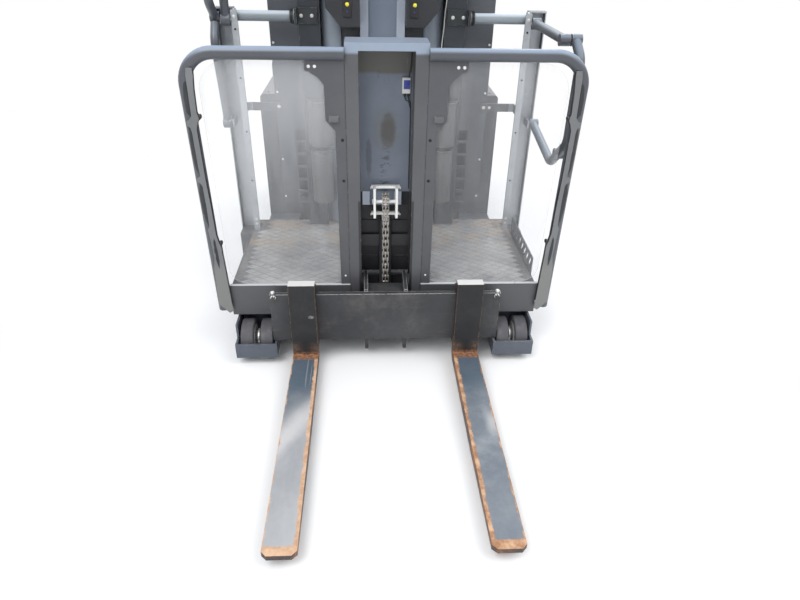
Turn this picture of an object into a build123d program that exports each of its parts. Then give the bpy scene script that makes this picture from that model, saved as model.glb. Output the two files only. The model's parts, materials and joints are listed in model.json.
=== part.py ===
"""High-level order picker truck: forks on a short auxiliary mast in front of a man-up cab.

Millimetres. +X is to the right of somebody who stands at the fork tips and looks at the cab,
+Y runs from the fork tips to the rear of the truck, +Z is up. The origin is on the floor, under
the middle of the truck's length and width.
"""
import os
from math import cos, radians, sin

from build123d import *

SIDES = (-1, 1)

# Clearances
running_gap = 0.05          # radial play of a shaft in its bore
seat_gap = 0.3              # play between pieces that lie against each other
pin_gap = 2                 # play beside a piece that turns on a pin
travel_gap = 5              # least play between pieces that pass each other

# Lengths along the truck, from the fork tips to the rear
tine_length = 917
cab_gap = 120
cab_depth = 656
column_reach = 84
mast_gap = 40
mast_depth = 150
tie_thickness = 20
cylinder_radius = 35
body_gap = 20
battery_bay = 460
partition = 15
drive_bay = 603
mast_length = mast_gap + mast_depth + tie_thickness + travel_gap + 2 * cylinder_radius
body_length = battery_bay + partition + drive_bay
overall_length = tine_length + cab_gap + cab_depth + column_reach + mast_length + body_gap + body_length

# Places along the truck, with the origin under its middle
fork_face = tine_length - overall_length / 2
cab_front = fork_face + cab_gap
cab_back = cab_front + cab_depth
column_back = cab_back + column_reach
mast_front = column_back + mast_gap
mast_back = mast_front + mast_depth
tie_back = mast_back + tie_thickness
cylinder_y = tie_back + travel_gap + cylinder_radius
body_front = cylinder_y + cylinder_radius + body_gap
bay_back = body_front + battery_bay
drive_front = bay_back + partition
body_back = drive_front + drive_bay

# Forks and the plate that carries them
fork_width = 100
fork_thickness = 40
fork_top = 60
fork_tip_thickness = 18
fork_tip_chamfer = 15
fork_taper_share = 0.45     # part of the tine, from its tip to the end of its taper
fork_pitch = 640
shank_top = 375
heel_radius = 34
hook_height = 26
hook_depth = 15
plate_half = 448
plate_thickness = 20
plate_z = (104, 314)
plate_front = fork_face + fork_thickness
plate_back = plate_front + plate_thickness
stop_radius = 9
stop_inset = 14

# Auxiliary mast, in front of the cab
aux_front = cab_front + 5
aux_depth = 110
aux_back = aux_front + aux_depth
post_inner = 94
post_outer = 139
post_wall = 12
post_bottom = 180
post_top = 1180
aux_bar_height = 26
aux_ties = ((post_bottom, 300), (430, 480))
aux_panel_bottom = 656
aux_panel_thickness = 6

# Platform
platform_half = 612
platform_z = (176, 292)
front_lip_top = 310
lip_thickness = 14
tread_thickness = 6
pan_rim = 32
pan_sheet = 12
floor_top = platform_z[1] + tread_thickness

# Front guard
guard_radius = 21
guard_top_half = 663
guard_foot_half = 645
guard_height = 1171
guard_foot = 205
guard_bend = 100
guard_y = aux_front
strip_width = 22
strip_gap = 14
strip_thickness = 6
web_height = 30
web_levels = (470, 760, 1010)
bracket_thickness = 4
pane_thickness = 5
pane_foot = 312
pane_corner = 70

# Gates: two bars on each post, joined at the front by a bent link
gate_radius = 17
gate_bend = 60
hub_radius = 22
hub_half = gate_radius + 1
joint_radius = 20
pin_radius = 8
gate_raised = 90
gate_lower_x = guard_top_half - 6
gate_upper_x = gate_lower_x - 2 * hub_half - travel_gap
pivot_y = cab_back - 111
upper_pivot_z = 1199
pivot_drop = 401
lower_pivot_z = upper_pivot_z - pivot_drop
guard_link_gap = 9          # between the guard's tube and the front run of a closed gate
link_front = -83            # front run of the link, from its joints
joint_y = guard_y + guard_radius + guard_link_gap + gate_radius - link_front
bar_reach = (joint_y - pivot_y, 2)              # from a pivot to its joint with the link
lower_bend = (bar_reach[0] + 80, -60)           # corner of the lower bar, from its pivot
link_corners = (-51, -336)  # heights of the link's corners, from its upper joint

# Gate posts: one rolled profile each, open forwards
post_sheet = 4
rail_width = 26
rail_sheet = 6
rail_front = pivot_y - 5
channel_x = (gate_upper_x - hub_half - pin_gap, gate_lower_x + 3)
channel_y = (pivot_y + hub_radius + travel_gap, pivot_y + 65)
channel_top = 1235
cap_thickness = 6
rail_x = (channel_x[0] - rail_width, channel_x[0])
strap_z = (822, 857)
strap_end = 440
cross_tube_height = 1212
cross_tube_radius = 20
tube_flange = 8

# Rear wall of the cab
column_x = (253, 340)
column_front = cab_back - 56
column_top = 2340
wall_front = cab_back
wall_top = 1900
window_sill = 1780
kick_top = 384
panel_outer = 466
panel_sheet = 5
panel_bulge = 26
cover_half = 92
cover_strip = 34
cover_raise = 30
console_inner = cover_half + seat_gap
console_outer = 166.7
console_foot = 1180
console_height = 230
console_flare = 60
console_rise = 70
console_depth = 100

# Main mast
mast_half = 400
mast_web = 15
mast_flange = 18
outer_flange_x = 330
outer_mast_z = (40, 2830)
inner_gap = 7
inner_flange = 15
inner_x = (290, 376)
inner_web_x = (328, 340)
inner_bottom = 60
head_z = (2840, 2870)
cab_roller_radius = mast_depth / 2 - mast_flange - inner_gap - inner_flange - seat_gap
cylinder_x = 330
rod_radius = 25
cylinder_foot = 60
cylinder_top = 2720
sheave_x = 120
sheave_radius = 50
sheave_width = 24
sheave_height = 2770
chain_thickness = 10
chain_width = 20

# Chassis
chassis_half = 600
ground_clearance = 35
arm_x = (435, 598)
arm_z = (ground_clearance, 160)
arm_wall = 8
arm_front = fork_face + 15
pocket_length = 177
pocket_front_top = plate_z[0] - travel_gap
load_wheel_radius = 75
load_wheel_width = 50
load_wheel_gap = 28
load_wheel_y = arm_front + 95
load_axle_radius = 15
battery_x = 540
battery_z = (80, 700)
rear_corner = 160
shell = 10
sill_z = (60, 220)
sill_width = 40
cover_z = (225, 745)
cover_sheet = 18
lid_z = (cover_z[1] + seat_gap, 800)
deck_z = (385, 405)
rear_cover_z = (100, 560)
hood_z = (rear_cover_z[1] + seat_gap, 900)
hinge_radius = 8
hinge_pin = 4
drive_wheel_radius = 175
drive_wheel_width = 130
drive_wheel_y = drive_front + 290
drive_axle_radius = 30
turntable_radius = 150


def block(x, y, z, mode=Mode.ADD):
    """Box between (low, high) limits along each axis, in the part that is open."""
    with Locations(((x[0] + x[1]) / 2, (y[0] + y[1]) / 2, (z[0] + z[1]) / 2)):
        Box(abs(x[1] - x[0]), abs(y[1] - y[0]), abs(z[1] - z[0]), mode=mode)


def rod_x(x, y, z, radius, mode=Mode.ADD):
    """Round bar along X from x[0] to x[1]."""
    with Locations(((x[0] + x[1]) / 2, y, z)):
        Cylinder(radius, abs(x[1] - x[0]), rotation=(0, 90, 0), mode=mode)


def rod_z(x, y, z, radius, mode=Mode.ADD):
    """Round bar along Z from z[0] to z[1]."""
    with Locations((x, y, (z[0] + z[1]) / 2)):
        Cylinder(radius, z[1] - z[0], mode=mode)


def tube(points, radius, bend):
    """Round tube along straight runs joined by arcs of one bend radius."""
    with BuildLine() as run:
        FilletPolyline(*points, radius=bend)
    with BuildSketch(Plane(origin=run.line @ 0, z_dir=run.line % 0)) as section:
        Circle(radius)
    sweep(sections=section.sketch, path=run.line)


def straight(start, end, radius):
    """Straight round bar between two points."""
    along = Vector(*end) - Vector(*start)
    with BuildSketch(Plane(origin=start, z_dir=along)) as section:
        Circle(radius)
    extrude(section.sketch, amount=along.length)


def span(side, x):
    """Limits of a pair of X values on one side of the truck."""
    return (side * x[0], side * x[1])


def save(builder, name):
    builder.part.label = name
    export_step(builder.part, f"parts/{name}.step")


os.makedirs("parts", exist_ok=True)

# Forks: tine with tapered underside and chamfered tip, shank, and two hooks over the plate
tine_bottom = fork_top - fork_thickness
for name, side in (("fork_left", -1), ("fork_right", 1)):
    fork_x = side * fork_pitch / 2
    with BuildPart() as fork:
        with BuildSketch(Plane.YZ.offset(fork_x - fork_width / 2)):
            with BuildLine():
                Polyline(
                    (fork_face - tine_length, fork_top),
                    (fork_face - tine_length, fork_top - fork_tip_thickness),
                    (fork_face - tine_length * (1 - fork_taper_share), tine_bottom),
                    (plate_front, tine_bottom),
                    (plate_front, shank_top),
                    (fork_face, shank_top),
                    (fork_face, fork_top),
                    close=True,
                )
            make_face()
        extrude(amount=fork_width)
        heel = fork.edges().filter_by(Axis.X).filter_by_position(Axis.Z, tine_bottom - 1, tine_bottom + 1)
        fillet(heel.sort_by(Axis.Y)[-1], heel_radius)
        tip = fork.edges().filter_by(Axis.Z).group_by(Axis.Y)[0]
        chamfer(tip, fork_tip_chamfer)
        hook_x = (fork_x - fork_width / 2, fork_x + fork_width / 2)
        hook_back = plate_back + seat_gap + hook_depth
        upper = plate_z[1] + seat_gap
        lower = plate_z[0] - seat_gap
        block(hook_x, (plate_front, hook_back), (upper, upper + hook_height))
        block(hook_x, (plate_back + seat_gap, hook_back), (upper - hook_depth, upper))
        block(hook_x, (plate_front, hook_back), (lower - hook_height, lower))
        block(hook_x, (plate_back + seat_gap, hook_back), (lower, lower + hook_depth))
    save(fork, name)

# Fork carriage: face plate, two arms that reach into the posts, rollers and a chain anchor
arm_inner = post_inner - 24
arm_outer = post_inner - 9
guide_z = (62, 322)
roller_y = aux_front + aux_depth / 2
carriage_roller_radius = aux_depth / 2 - post_wall - seat_gap
carriage_roller_levels = (165, 280)
anchor_z = (236, 300)
anchor_back = aux_front + 25
with BuildPart() as fork_carriage:
    block((-plate_half, plate_half), (plate_front, plate_back), plate_z)
    for side in SIDES:
        block(span(side, (arm_inner, arm_outer)), (plate_back, aux_back - post_wall - 4), guide_z)
        roller_x = span(side, (arm_outer, post_outer - post_wall - 3))
        for level in carriage_roller_levels:
            rod_x(roller_x, roller_y, level, carriage_roller_radius)
    block((-arm_inner, arm_inner), (plate_back, anchor_back), anchor_z)
    for side in SIDES:
        with Locations((side * (plate_half - stop_inset), plate_front, plate_z[1] - stop_inset)):
            Cylinder(stop_radius, 14, rotation=(90, 0, 0), align=(Align.CENTER, Align.CENTER, Align.MIN))
save(fork_carriage, "fork_carriage")

# Auxiliary mast: two channels that open inwards, a top bar and cross members behind
post_z = (post_bottom, post_top)
with BuildPart() as aux_mast:
    for side in SIDES:
        block(span(side, (post_outer - post_wall, post_outer)), (aux_front, aux_back), post_z)
        for flange in ((aux_front, aux_front + post_wall), (aux_back - post_wall, aux_back)):
            block(span(side, (post_inner, post_outer - post_wall)), flange, post_z)
    block((-post_outer, post_outer), (aux_front, aux_back), (post_top, post_top + aux_bar_height))
    for level in aux_ties:
        block((-post_inner - post_wall, post_inner + post_wall), (aux_back - post_wall, aux_back), level)
save(aux_mast, "aux_mast")

with BuildPart() as aux_panel:
    panel_y = (aux_back + seat_gap, aux_back + seat_gap + aux_panel_thickness)
    block((-post_outer, post_outer), panel_y, (aux_panel_bottom, post_top))
save(aux_panel, "aux_panel")

# Lift cylinder of the auxiliary mast, between the posts
head_frame_z = (574, 691)
aux_cylinder_radius = 24
aux_cylinder_y = aux_back - post_wall - aux_cylinder_radius - seat_gap
aux_rod_radius = 14
with BuildPart() as aux_cylinder:
    aux_cylinder_z = (post_bottom, head_frame_z[0] - 20)
    rod_z(0, aux_cylinder_y, aux_cylinder_z, aux_cylinder_radius)
    bore_z = (aux_cylinder_z[0] + 20, aux_cylinder_z[1] + 1)
    rod_z(0, aux_cylinder_y, bore_z, aux_rod_radius + running_gap, Mode.SUBTRACT)
save(aux_cylinder, "aux_cylinder")

# Crosshead: an H frame that carries the chain sheave on the rod of the cylinder
head_half = 46
head_side = 9
head_y = (aux_front + 42, aux_back - post_wall - 8)
aux_sheave_radius = 24
aux_sheave_width = 26
aux_sheave_z = (head_frame_z[0] + head_frame_z[1]) / 2
aux_sheave_y = aux_front + 66
with BuildPart() as crosshead:
    for side in SIDES:
        block(span(side, (head_half - head_side, head_half)), head_y, head_frame_z)
    for bar in ((head_frame_z[0], head_frame_z[0] + 10), (head_frame_z[1] - 10, head_frame_z[1])):
        block((-head_half - 8, head_half + 8), (head_y[1] - 14, head_y[1]), bar)
    rod_x((-head_half, head_half), aux_sheave_y, aux_sheave_z, 7)
    rod_x((-aux_sheave_width / 2, aux_sheave_width / 2), aux_sheave_y, aux_sheave_z, aux_sheave_radius)
    rod_z(0, aux_cylinder_y, (post_bottom + 30, head_frame_z[0]), aux_rod_radius)
save(crosshead, "crosshead")

# Leaf chain: over the sheave and down to the anchor of the carriage
aux_chain = 10
chain_half = 13
with BuildPart() as lift_chain:
    rim = aux_sheave_radius + seat_gap
    reach = rim + aux_chain
    rod_x((-chain_half, chain_half), aux_sheave_y, aux_sheave_z, reach)
    rod_x((-chain_half, chain_half), aux_sheave_y, aux_sheave_z, rim, Mode.SUBTRACT)
    cut_y = (aux_sheave_y - reach - 1, aux_sheave_y + reach + 1)
    cut_z = (aux_sheave_z - reach - 1, aux_sheave_z)
    block((-chain_half - 1, chain_half + 1), cut_y, cut_z, Mode.SUBTRACT)
    strand_y = (aux_sheave_y - reach, aux_sheave_y - rim)
    block((-chain_half, chain_half), strand_y, (anchor_z[1] + seat_gap, aux_sheave_z))
save(lift_chain, "lift_chain")

# Platform: pressed pan with beams at the front and rear, a notch for the auxiliary mast, a lip
# at the front and a slotted toe guard on the right edge
notch_half = post_outer + seat_gap
notch_back = aux_back + 2 * seat_gap + aux_panel_thickness
sill_front = pivot_y - 30
toe_z = (platform_z[1], floor_top + 72)
toe_y = (cab_front + 105, sill_front)
toe_sheet = 4
toe_slots = 8
toe_slot = (18, 44)
toe_slant = 28
with BuildPart() as cab_floor:
    block((-platform_half, platform_half), (cab_front, cab_back), platform_z)
    block((-channel_x[1], channel_x[1]), (sill_front, cab_back), platform_z)
    lip_z = (platform_z[1], front_lip_top)
    block((-platform_half, platform_half), (cab_front, cab_front + lip_thickness), lip_z)
    for side in SIDES:
        pocket_x = span(side, (notch_half + pan_rim, platform_half - pan_rim))
        pocket_z = (platform_z[0], platform_z[1] - pan_sheet)
        block(pocket_x, (cab_front + pan_rim, sill_front), pocket_z, Mode.SUBTRACT)
    notch_z = (platform_z[0] - 1, front_lip_top + 1)
    block((-notch_half, notch_half), (cab_front - 1, notch_back), notch_z, Mode.SUBTRACT)
    block((platform_half - toe_sheet, platform_half), toe_y, toe_z)
    with BuildSketch(Plane.YZ.offset(platform_half - toe_sheet - 1)):
        with Locations(((toe_y[0] + toe_y[1]) / 2, (toe_z[0] + toe_z[1]) / 2 + 6)):
            with GridLocations((toe_y[1] - toe_y[0]) / (toe_slots + 0.5), 1, toe_slots, 1):
                SlotOverall(toe_slot[1], toe_slot[0], rotation=90 + toe_slant)
    extrude(amount=toe_sheet + 2, mode=Mode.SUBTRACT)
save(cab_floor, "cab_floor")

with BuildPart() as floor_plate:
    plate_rim = 12
    plate_y = (cab_front + lip_thickness + 1, cab_back)
    block((-platform_half + plate_rim, platform_half - plate_rim), plate_y, (platform_z[1], floor_top))
    cut_z = (platform_z[1] - 1, floor_top + 1)
    block((-notch_half, notch_half), (cab_front, notch_back), cut_z, Mode.SUBTRACT)
    for side in SIDES:
        column_foot = span(side, (column_x[0] - seat_gap, column_x[1] + seat_gap))
        block(column_foot, (column_front - seat_gap, cab_back + 1), cut_z, Mode.SUBTRACT)
        rail_foot = span(side, (rail_x[0] - pin_gap, platform_half + 1))
        block(rail_foot, (rail_front - pin_gap, channel_y[1] + pin_gap), cut_z, Mode.SUBTRACT)
save(floor_plate, "floor_plate")

# Rear frame: two columns, the wall between them, and the carriage that runs in the mast
ear_x = (262, 284)
ear_back = mast_front + 100
ear_z = (190, 915)
roller_z = (245, 860)
cab_roller_y = mast_front + mast_depth / 2
cross_plate = 25
cross_height = 150
back_sheet = (cab_back + 26, cab_back + 36)
with BuildPart() as rear_frame:
    for side in SIDES:
        block(span(side, column_x), (column_front, cab_back + 2), (platform_z[1], column_top))
        block(span(side, column_x), (cab_back + seat_gap, column_back), (platform_z[0], column_top))
        block(span(side, ear_x), (column_back, ear_back), ear_z)
    for band in ((platform_z[0], kick_top), (window_sill, wall_top)):
        block((-column_x[0], column_x[0]), (cab_back + seat_gap, column_back), band)
    block((-column_x[0], column_x[0]), back_sheet, (kick_top, window_sill))
    for band in ((ear_z[0], ear_z[0] + cross_height), (ear_z[1] - cross_height, ear_z[1])):
        block((-ear_x[1], ear_x[1]), (column_back, column_back + cross_plate), band)
save(rear_frame, "rear_frame")

with BuildPart() as mast_rollers:
    for side in SIDES:
        for level in roller_z:
            rod_x(span(side, (ear_x[1], inner_web_x[0] - 3)), cab_roller_y, level, cab_roller_radius)
save(mast_rollers, "mast_rollers")

# Outer panels of the rear wall: trays that open to the rear, each with a ladder of vents, and
# beside each two round storage tubs on the column
tray_z = (kick_top, wall_top)
tray_back = column_back - 10
vent_x = (349, 391)
vent_z = (393, 748)
vent_count = 6
vent_bar = 14
tub_x = 268
tub_wall = 4
tubs = ((57, 690, 880), (50, 425, 668))     # radius, low, high
with BuildPart() as rear_panels:
    for side in SIDES:
        tray_x = (column_x[1] + seat_gap, panel_outer)
        block(span(side, tray_x), (wall_front, tray_back), tray_z)
        hollow_x = (tray_x[0] + panel_sheet, tray_x[1] - panel_sheet)
        hollow_z = (tray_z[0] + panel_sheet, tray_z[1] - panel_sheet)
        block(span(side, hollow_x), (wall_front + panel_sheet, tray_back + 1), hollow_z, Mode.SUBTRACT)
        vent_pitch = (vent_z[1] - vent_z[0]) / vent_count
        for row in range(vent_count):
            low = vent_z[0] + row * vent_pitch
            vent_span = (low, low + vent_pitch - vent_bar)
            through = (wall_front - 1, wall_front + panel_sheet + 1)
            block(span(side, vent_x), through, vent_span, Mode.SUBTRACT)
        for radius, low, high in tubs:
            for size, foot, top, mode in (
                (radius, low, high, Mode.ADD),
                (radius - tub_wall, low + tub_wall, high + 1, Mode.SUBTRACT),
            ):
                back = column_front - seat_gap - (radius - size)
                with BuildSketch(Plane.XY.offset(foot)):
                    with Locations((side * tub_x, column_front)):
                        Circle(size)
                    with Locations((side * tub_x, back)):
                        Rectangle(3 * size, 3 * size, align=(Align.CENTER, Align.MIN), mode=Mode.SUBTRACT)
                extrude(amount=top - foot, mode=mode)
save(rear_panels, "rear_panels")

# Inner panels: tall covers with a curved face between the columns and the console strips, and
# the centre cover, a shallow trough between two raised strips
with BuildPart() as inner_panels:
    panel_x = (console_outer + seat_gap, column_x[0] - seat_gap)
    middle = (panel_x[0] + panel_x[1]) / 2
    panel_z = (floor_top + seat_gap, wall_top)
    for side in SIDES:
        with BuildSketch(Plane.XY.offset(panel_z[0])):
            with BuildLine():
                low = (side * panel_x[0], wall_front)
                high = (side * panel_x[1], wall_front)
                ThreePointArc(low, (side * middle, wall_front - panel_bulge), high)
                Line(high, (high[0] - side * panel_sheet, wall_front))
                ThreePointArc(
                    (high[0] - side * panel_sheet, wall_front),
                    (side * middle, wall_front - panel_bulge + panel_sheet),
                    (low[0] + side * panel_sheet, wall_front),
                )
                Line((low[0] + side * panel_sheet, wall_front), low)
            make_face()
        extrude(amount=panel_z[1] - panel_z[0])
        strip_x = span(side, (cover_half - cover_strip, cover_half))
        block(strip_x, (wall_front - cover_raise, cab_back), panel_z)
    block((-cover_half, cover_half), (cab_back - panel_sheet, cab_back), panel_z)
save(inner_panels, "inner_panels")

# Consoles: black strips beside the centre cover, with a control box on top of each
strip_face = wall_front - 12
with BuildPart() as consoles:
    for side in SIDES:
        strip_x = span(side, (console_inner, console_outer))
        box_front = wall_front - panel_bulge - 1
        box_top = console_foot + console_height
        block(strip_x, (strip_face, strip_face + 8), (floor_top + seat_gap, box_top))
        block(strip_x, (box_front, strip_face), (console_foot, box_top))
        with BuildSketch(Plane.XZ.offset(-box_front)):
            with BuildLine():
                Polyline(
                    (side * console_inner, console_foot),
                    (side * console_outer, console_foot),
                    (side * (console_outer + console_flare), console_foot + console_rise),
                    (side * (console_outer + console_flare), box_top),
                    (side * console_inner, box_top),
                    close=True,
                )
            make_face()
        extrude(amount=console_depth)
save(consoles, "consoles")

# Overhead guard: a flat frame on the columns, with bars along the truck
guard_half = 480
roof_front = cab_front + 70
roof_z = (column_top, column_top + 50)
roof_rail = 40
roof_bars = 7
bar_width = 22
with BuildPart() as overhead_guard:
    block((-guard_half, guard_half), (roof_front, column_back), roof_z)
    inner_half = guard_half - roof_rail
    inner_y = (roof_front + roof_rail, column_back - roof_rail)
    block((-inner_half, inner_half), inner_y, roof_z, Mode.SUBTRACT)
    bar_pitch = 2 * inner_half / (roof_bars + 1)
    with Locations((0, (roof_front + column_back) / 2, roof_z[0] + 20)):
        with GridLocations(bar_pitch, 1, roof_bars, 1):
            Box(bar_width, column_back - roof_front - roof_rail, 34)
save(overhead_guard, "overhead_guard")

# Front guard: a bent tube on each side, from the foot up and across to the post
with BuildPart() as guard_tube:
    for side in SIDES:
        tube(
            [
                (side * (post_outer + seat_gap), guard_y, guard_height),
                (side * guard_top_half, guard_y, guard_height),
                (side * guard_foot_half, guard_y, guard_foot),
            ],
            guard_radius,
            guard_bend,
        )
save(guard_tube, "guard_tube")


def guard_line(height):
    """Distance of the upright tube's centre line from the middle of the truck."""
    share = (height - guard_foot) / (guard_height - guard_foot)
    return guard_foot_half + share * (guard_top_half - guard_foot_half)


# Sheets of the guard: a flat strip inside each tube, joined to it by short webs and a foot plate,
# and a bracket beside the auxiliary mast, wide at the top and stepped in below
strip_offset = guard_radius + strip_gap
strip_z = (pane_foot - 30, guard_height - guard_bend)
strip_y = guard_y - strip_thickness / 2
foot_z = (200, 320)
bracket_y = (guard_y + 2, guard_y + 2 + bracket_thickness)
bracket_outline = (         # from the outer face of the mast's post, and from the floor
    (seat_gap, front_lip_top + 1),
    (36, front_lip_top + 1),
    (38, 919),
    (70, 955),
    (70, 1072),
    (89, 1095),
    (116, 1114),
    (132, 1118),
    (132, guard_height - guard_radius - seat_gap),
    (seat_gap, guard_height - guard_radius - seat_gap),
)
with BuildPart() as side_uprights:
    for side in SIDES:
        with BuildSketch(Plane.XZ.offset(-strip_y - strip_thickness)):
            with BuildLine():
                Polyline(
                    (side * (guard_line(strip_z[0]) - strip_offset), strip_z[0]),
                    (side * (guard_line(strip_z[1]) - strip_offset), strip_z[1]),
                    (side * (guard_line(strip_z[1]) - strip_offset - strip_width), strip_z[1]),
                    (side * (guard_line(strip_z[0]) - strip_offset - strip_width), strip_z[0]),
                    close=True,
                )
            make_face()
            for level in web_levels:
                reach = guard_line(level) - guard_radius - seat_gap
                with Locations((side * (reach - strip_gap / 2 - 2), level)):
                    Rectangle(strip_gap + 4, web_height)
            with BuildLine():
                Polyline(
                    (side * (platform_half - 20), foot_z[1]),
                    (side * (guard_line(foot_z[1]) - guard_radius - 1), foot_z[1]),
                    (side * (guard_line(foot_z[0]) - guard_radius - 1), foot_z[0]),
                    (side * (platform_half + 2), foot_z[0]),
                    (side * (platform_half - 20), foot_z[0] + 20),
                    close=True,
                )
            make_face()
        extrude(amount=strip_thickness)
    lip_y = (cab_front, strip_y + 40)
    lip_z = (platform_z[0] - 1, front_lip_top + 1)
    block((-platform_half - 1, platform_half + 1), lip_y, lip_z, Mode.SUBTRACT)
    for side in SIDES:
        with BuildSketch(Plane.XZ.offset(-bracket_y[1])):
            with BuildLine():
                Polyline(*[(side * (post_outer + x), z) for x, z in bracket_outline], close=True)
            make_face()
        extrude(amount=bracket_thickness)
save(side_uprights, "side_uprights")

# Clear panes between the posts and the uprights
pane_y = bracket_y[1] + seat_gap
pane_top = guard_height - guard_radius - 2
with BuildPart() as panes:
    for side in SIDES:
        with BuildSketch(Plane.XZ.offset(-pane_y - pane_thickness)):
            with BuildLine():
                Polyline(
                    (side * (post_outer + 6), pane_foot),
                    (side * (guard_line(pane_foot) - strip_offset - 5), pane_foot),
                    (side * (guard_line(pane_top) - strip_offset - 5), pane_top),
                    (side * (post_outer + 6), pane_top),
                    close=True,
                )
            make_face()
            fillet(vertices().group_by(Axis.Y)[0], pane_corner)
            fillet(vertices().group_by(Axis.Y)[-1].sort_by(Axis.X)[-1 if side > 0 else 0], guard_bend)
        extrude(amount=pane_thickness)
save(panes, "panes")

# Gate posts: a rolled profile with a rail in front, pins for the gate and a strap to the rear wall
cap_y = (channel_y[0] + 1, channel_y[1] + 1)
with BuildPart() as gate_posts:
    for side in SIDES:
        with BuildSketch(Plane.XY.offset(platform_z[1])):
            with BuildLine():
                profile = (
                    (rail_x[0], rail_front),
                    (rail_x[1], rail_front),
                    (rail_x[1], channel_y[1] - post_sheet),
                    (channel_x[1] - post_sheet, channel_y[1] - post_sheet),
                    (channel_x[1] - post_sheet, channel_y[0]),
                    (channel_x[1], channel_y[0]),
                    (channel_x[1], channel_y[1]),
                    (rail_x[1] - rail_sheet, channel_y[1]),
                    (rail_x[1] - rail_sheet, rail_front + rail_sheet),
                    (rail_x[0], rail_front + rail_sheet),
                )
                Polyline(*[(side * x, y) for x, y in profile], close=True)
            make_face()
        extrude(amount=channel_top - platform_z[1])
        cap_x = (channel_x[0] - rail_sheet, channel_x[1] + 1)
        block(span(side, cap_x), cap_y, (channel_top, channel_top + cap_thickness))
        upper_pin_x = (rail_x[1] - 2, gate_upper_x + hub_half - 1)
        rod_x(span(side, upper_pin_x), pivot_y, upper_pivot_z, pin_radius)
        lower_lug_x = (gate_lower_x - hub_half - pin_gap - 8, gate_lower_x - hub_half - pin_gap)
        lower_lug_y = (pivot_y - 12, channel_y[1] - 1)
        block(span(side, lower_lug_x), lower_lug_y, (lower_pivot_z - 16, lower_pivot_z + 16))
        lower_pin_x = (lower_lug_x[1] - 1, gate_lower_x + hub_half - 1)
        rod_x(span(side, lower_pin_x), pivot_y, lower_pivot_z, pin_radius)
        strap_x = (strap_end, rail_x[1] - rail_sheet + 1)
        strap_y = (wall_front - seat_gap - rail_sheet, wall_front - seat_gap)
        block(span(side, strap_x), strap_y, strap_z)
        block(span(side, (strap_x[1] - rail_sheet, strap_x[1])), (channel_y[0], strap_y[1]), strap_z)
save(gate_posts, "gate_posts")

# Cross tubes from the posts to the columns, each bolted through a flange and an angle
tube_y = column_front - cross_tube_radius - travel_gap
angle_rise = 30
flange_rise = 7
with BuildPart() as cross_tubes:
    angle_z = (cross_tube_height - angle_rise, cross_tube_height + angle_rise)
    angle_x = (column_x[0] + 9, column_x[1] + 10)
    angle_back = column_front - seat_gap
    tube_x = (angle_x[1], rail_x[1] - rail_sheet - seat_gap)
    for side in SIDES:
        block(span(side, angle_x), (angle_back - tube_flange, angle_back), angle_z)
        block(span(side, (angle_x[1] - tube_flange, angle_x[1])), (tube_y - 23, angle_back), angle_z)
        rod_x(span(side, tube_x), tube_y, cross_tube_height, cross_tube_radius)
        for edge in (tube_x[0], tube_x[1] - tube_flange):
            disc_x = span(side, (edge, edge + tube_flange))
            rod_x(disc_x, tube_y, cross_tube_height, cross_tube_radius + flange_rise)
save(cross_tubes, "cross_tubes")


def raised(offset, turn):
    """Offset (along, up) from a pivot, turned up by an angle in degrees."""
    along, up = offset
    level, rise = cos(radians(turn)), sin(radians(turn))
    return (along * level + up * rise, up * level - along * rise)


def place(x, start, offset):
    """Point in the plane of one bar, from a (Y, Z) start and an offset."""
    return (x, start[0] + offset[0], start[1] + offset[1])


# Gates: the left one stands raised, the right one is closed
bar_end_gap = joint_radius + travel_gap
for name, side, turn in (("gate_left", -1, gate_raised), ("gate_right", 1, 0)):
    upper_hub = span(side, (gate_upper_x - hub_half, gate_upper_x + hub_half))
    lower_hub = span(side, (gate_lower_x - hub_half, gate_lower_x + hub_half))
    lower_bore = span(side, (gate_lower_x - hub_half - 1, gate_lower_x + hub_half + 1))
    reach = raised(bar_reach, turn)
    upper_pivot = (pivot_y, upper_pivot_z)
    lower_pivot = (pivot_y, lower_pivot_z)
    upper_joint = (pivot_y + reach[0], upper_pivot_z + reach[1])
    lower_joint = (pivot_y + reach[0], lower_pivot_z + reach[1])
    bore = pin_radius + running_gap

    with BuildPart() as upper_bar:
        ends = [place(side * gate_upper_x, point, (0, 0)) for point in (upper_pivot, upper_joint)]
        straight(*ends, gate_radius)
        rod_x(upper_hub, *upper_pivot, hub_radius)
        rod_x(upper_hub, *upper_joint, joint_radius)
        upper_bore = span(side, (gate_upper_x - hub_half - 1, gate_upper_x + hub_half + 1))
        rod_x(upper_bore, *upper_pivot, bore, Mode.SUBTRACT)
        rod_x(span(side, (gate_upper_x, gate_lower_x + hub_half - 1)), *upper_joint, pin_radius)
    save(upper_bar, f"{name}_upper")

    with BuildPart() as lower_bar:
        corner = raised(lower_bend, turn)
        last_run = Vector(reach[0] - corner[0], reach[1] - corner[1])
        stop = 1 - bar_end_gap / last_run.length
        end = (corner[0] + last_run.X * stop, corner[1] + last_run.Y * stop)
        path = [place(side * gate_lower_x, lower_pivot, point) for point in ((0, 0), corner, end)]
        tube(path, gate_radius, gate_bend)
        rod_x(lower_hub, *lower_pivot, hub_radius)
        rod_x(lower_bore, *lower_pivot, bore, Mode.SUBTRACT)
    save(lower_bar, f"{name}_lower")

    with BuildPart() as link:
        corners = ((0, 0), (link_front, link_corners[0]), (link_front, link_corners[1]), (0, -pivot_drop))
        tube([place(side * gate_lower_x, upper_joint, point) for point in corners], gate_radius, gate_bend)
        rod_x(lower_hub, *upper_joint, joint_radius)
        rod_x(lower_hub, *lower_joint, joint_radius)
        rod_x(lower_bore, *upper_joint, bore, Mode.SUBTRACT)
    save(link, f"{name}_link")

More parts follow.
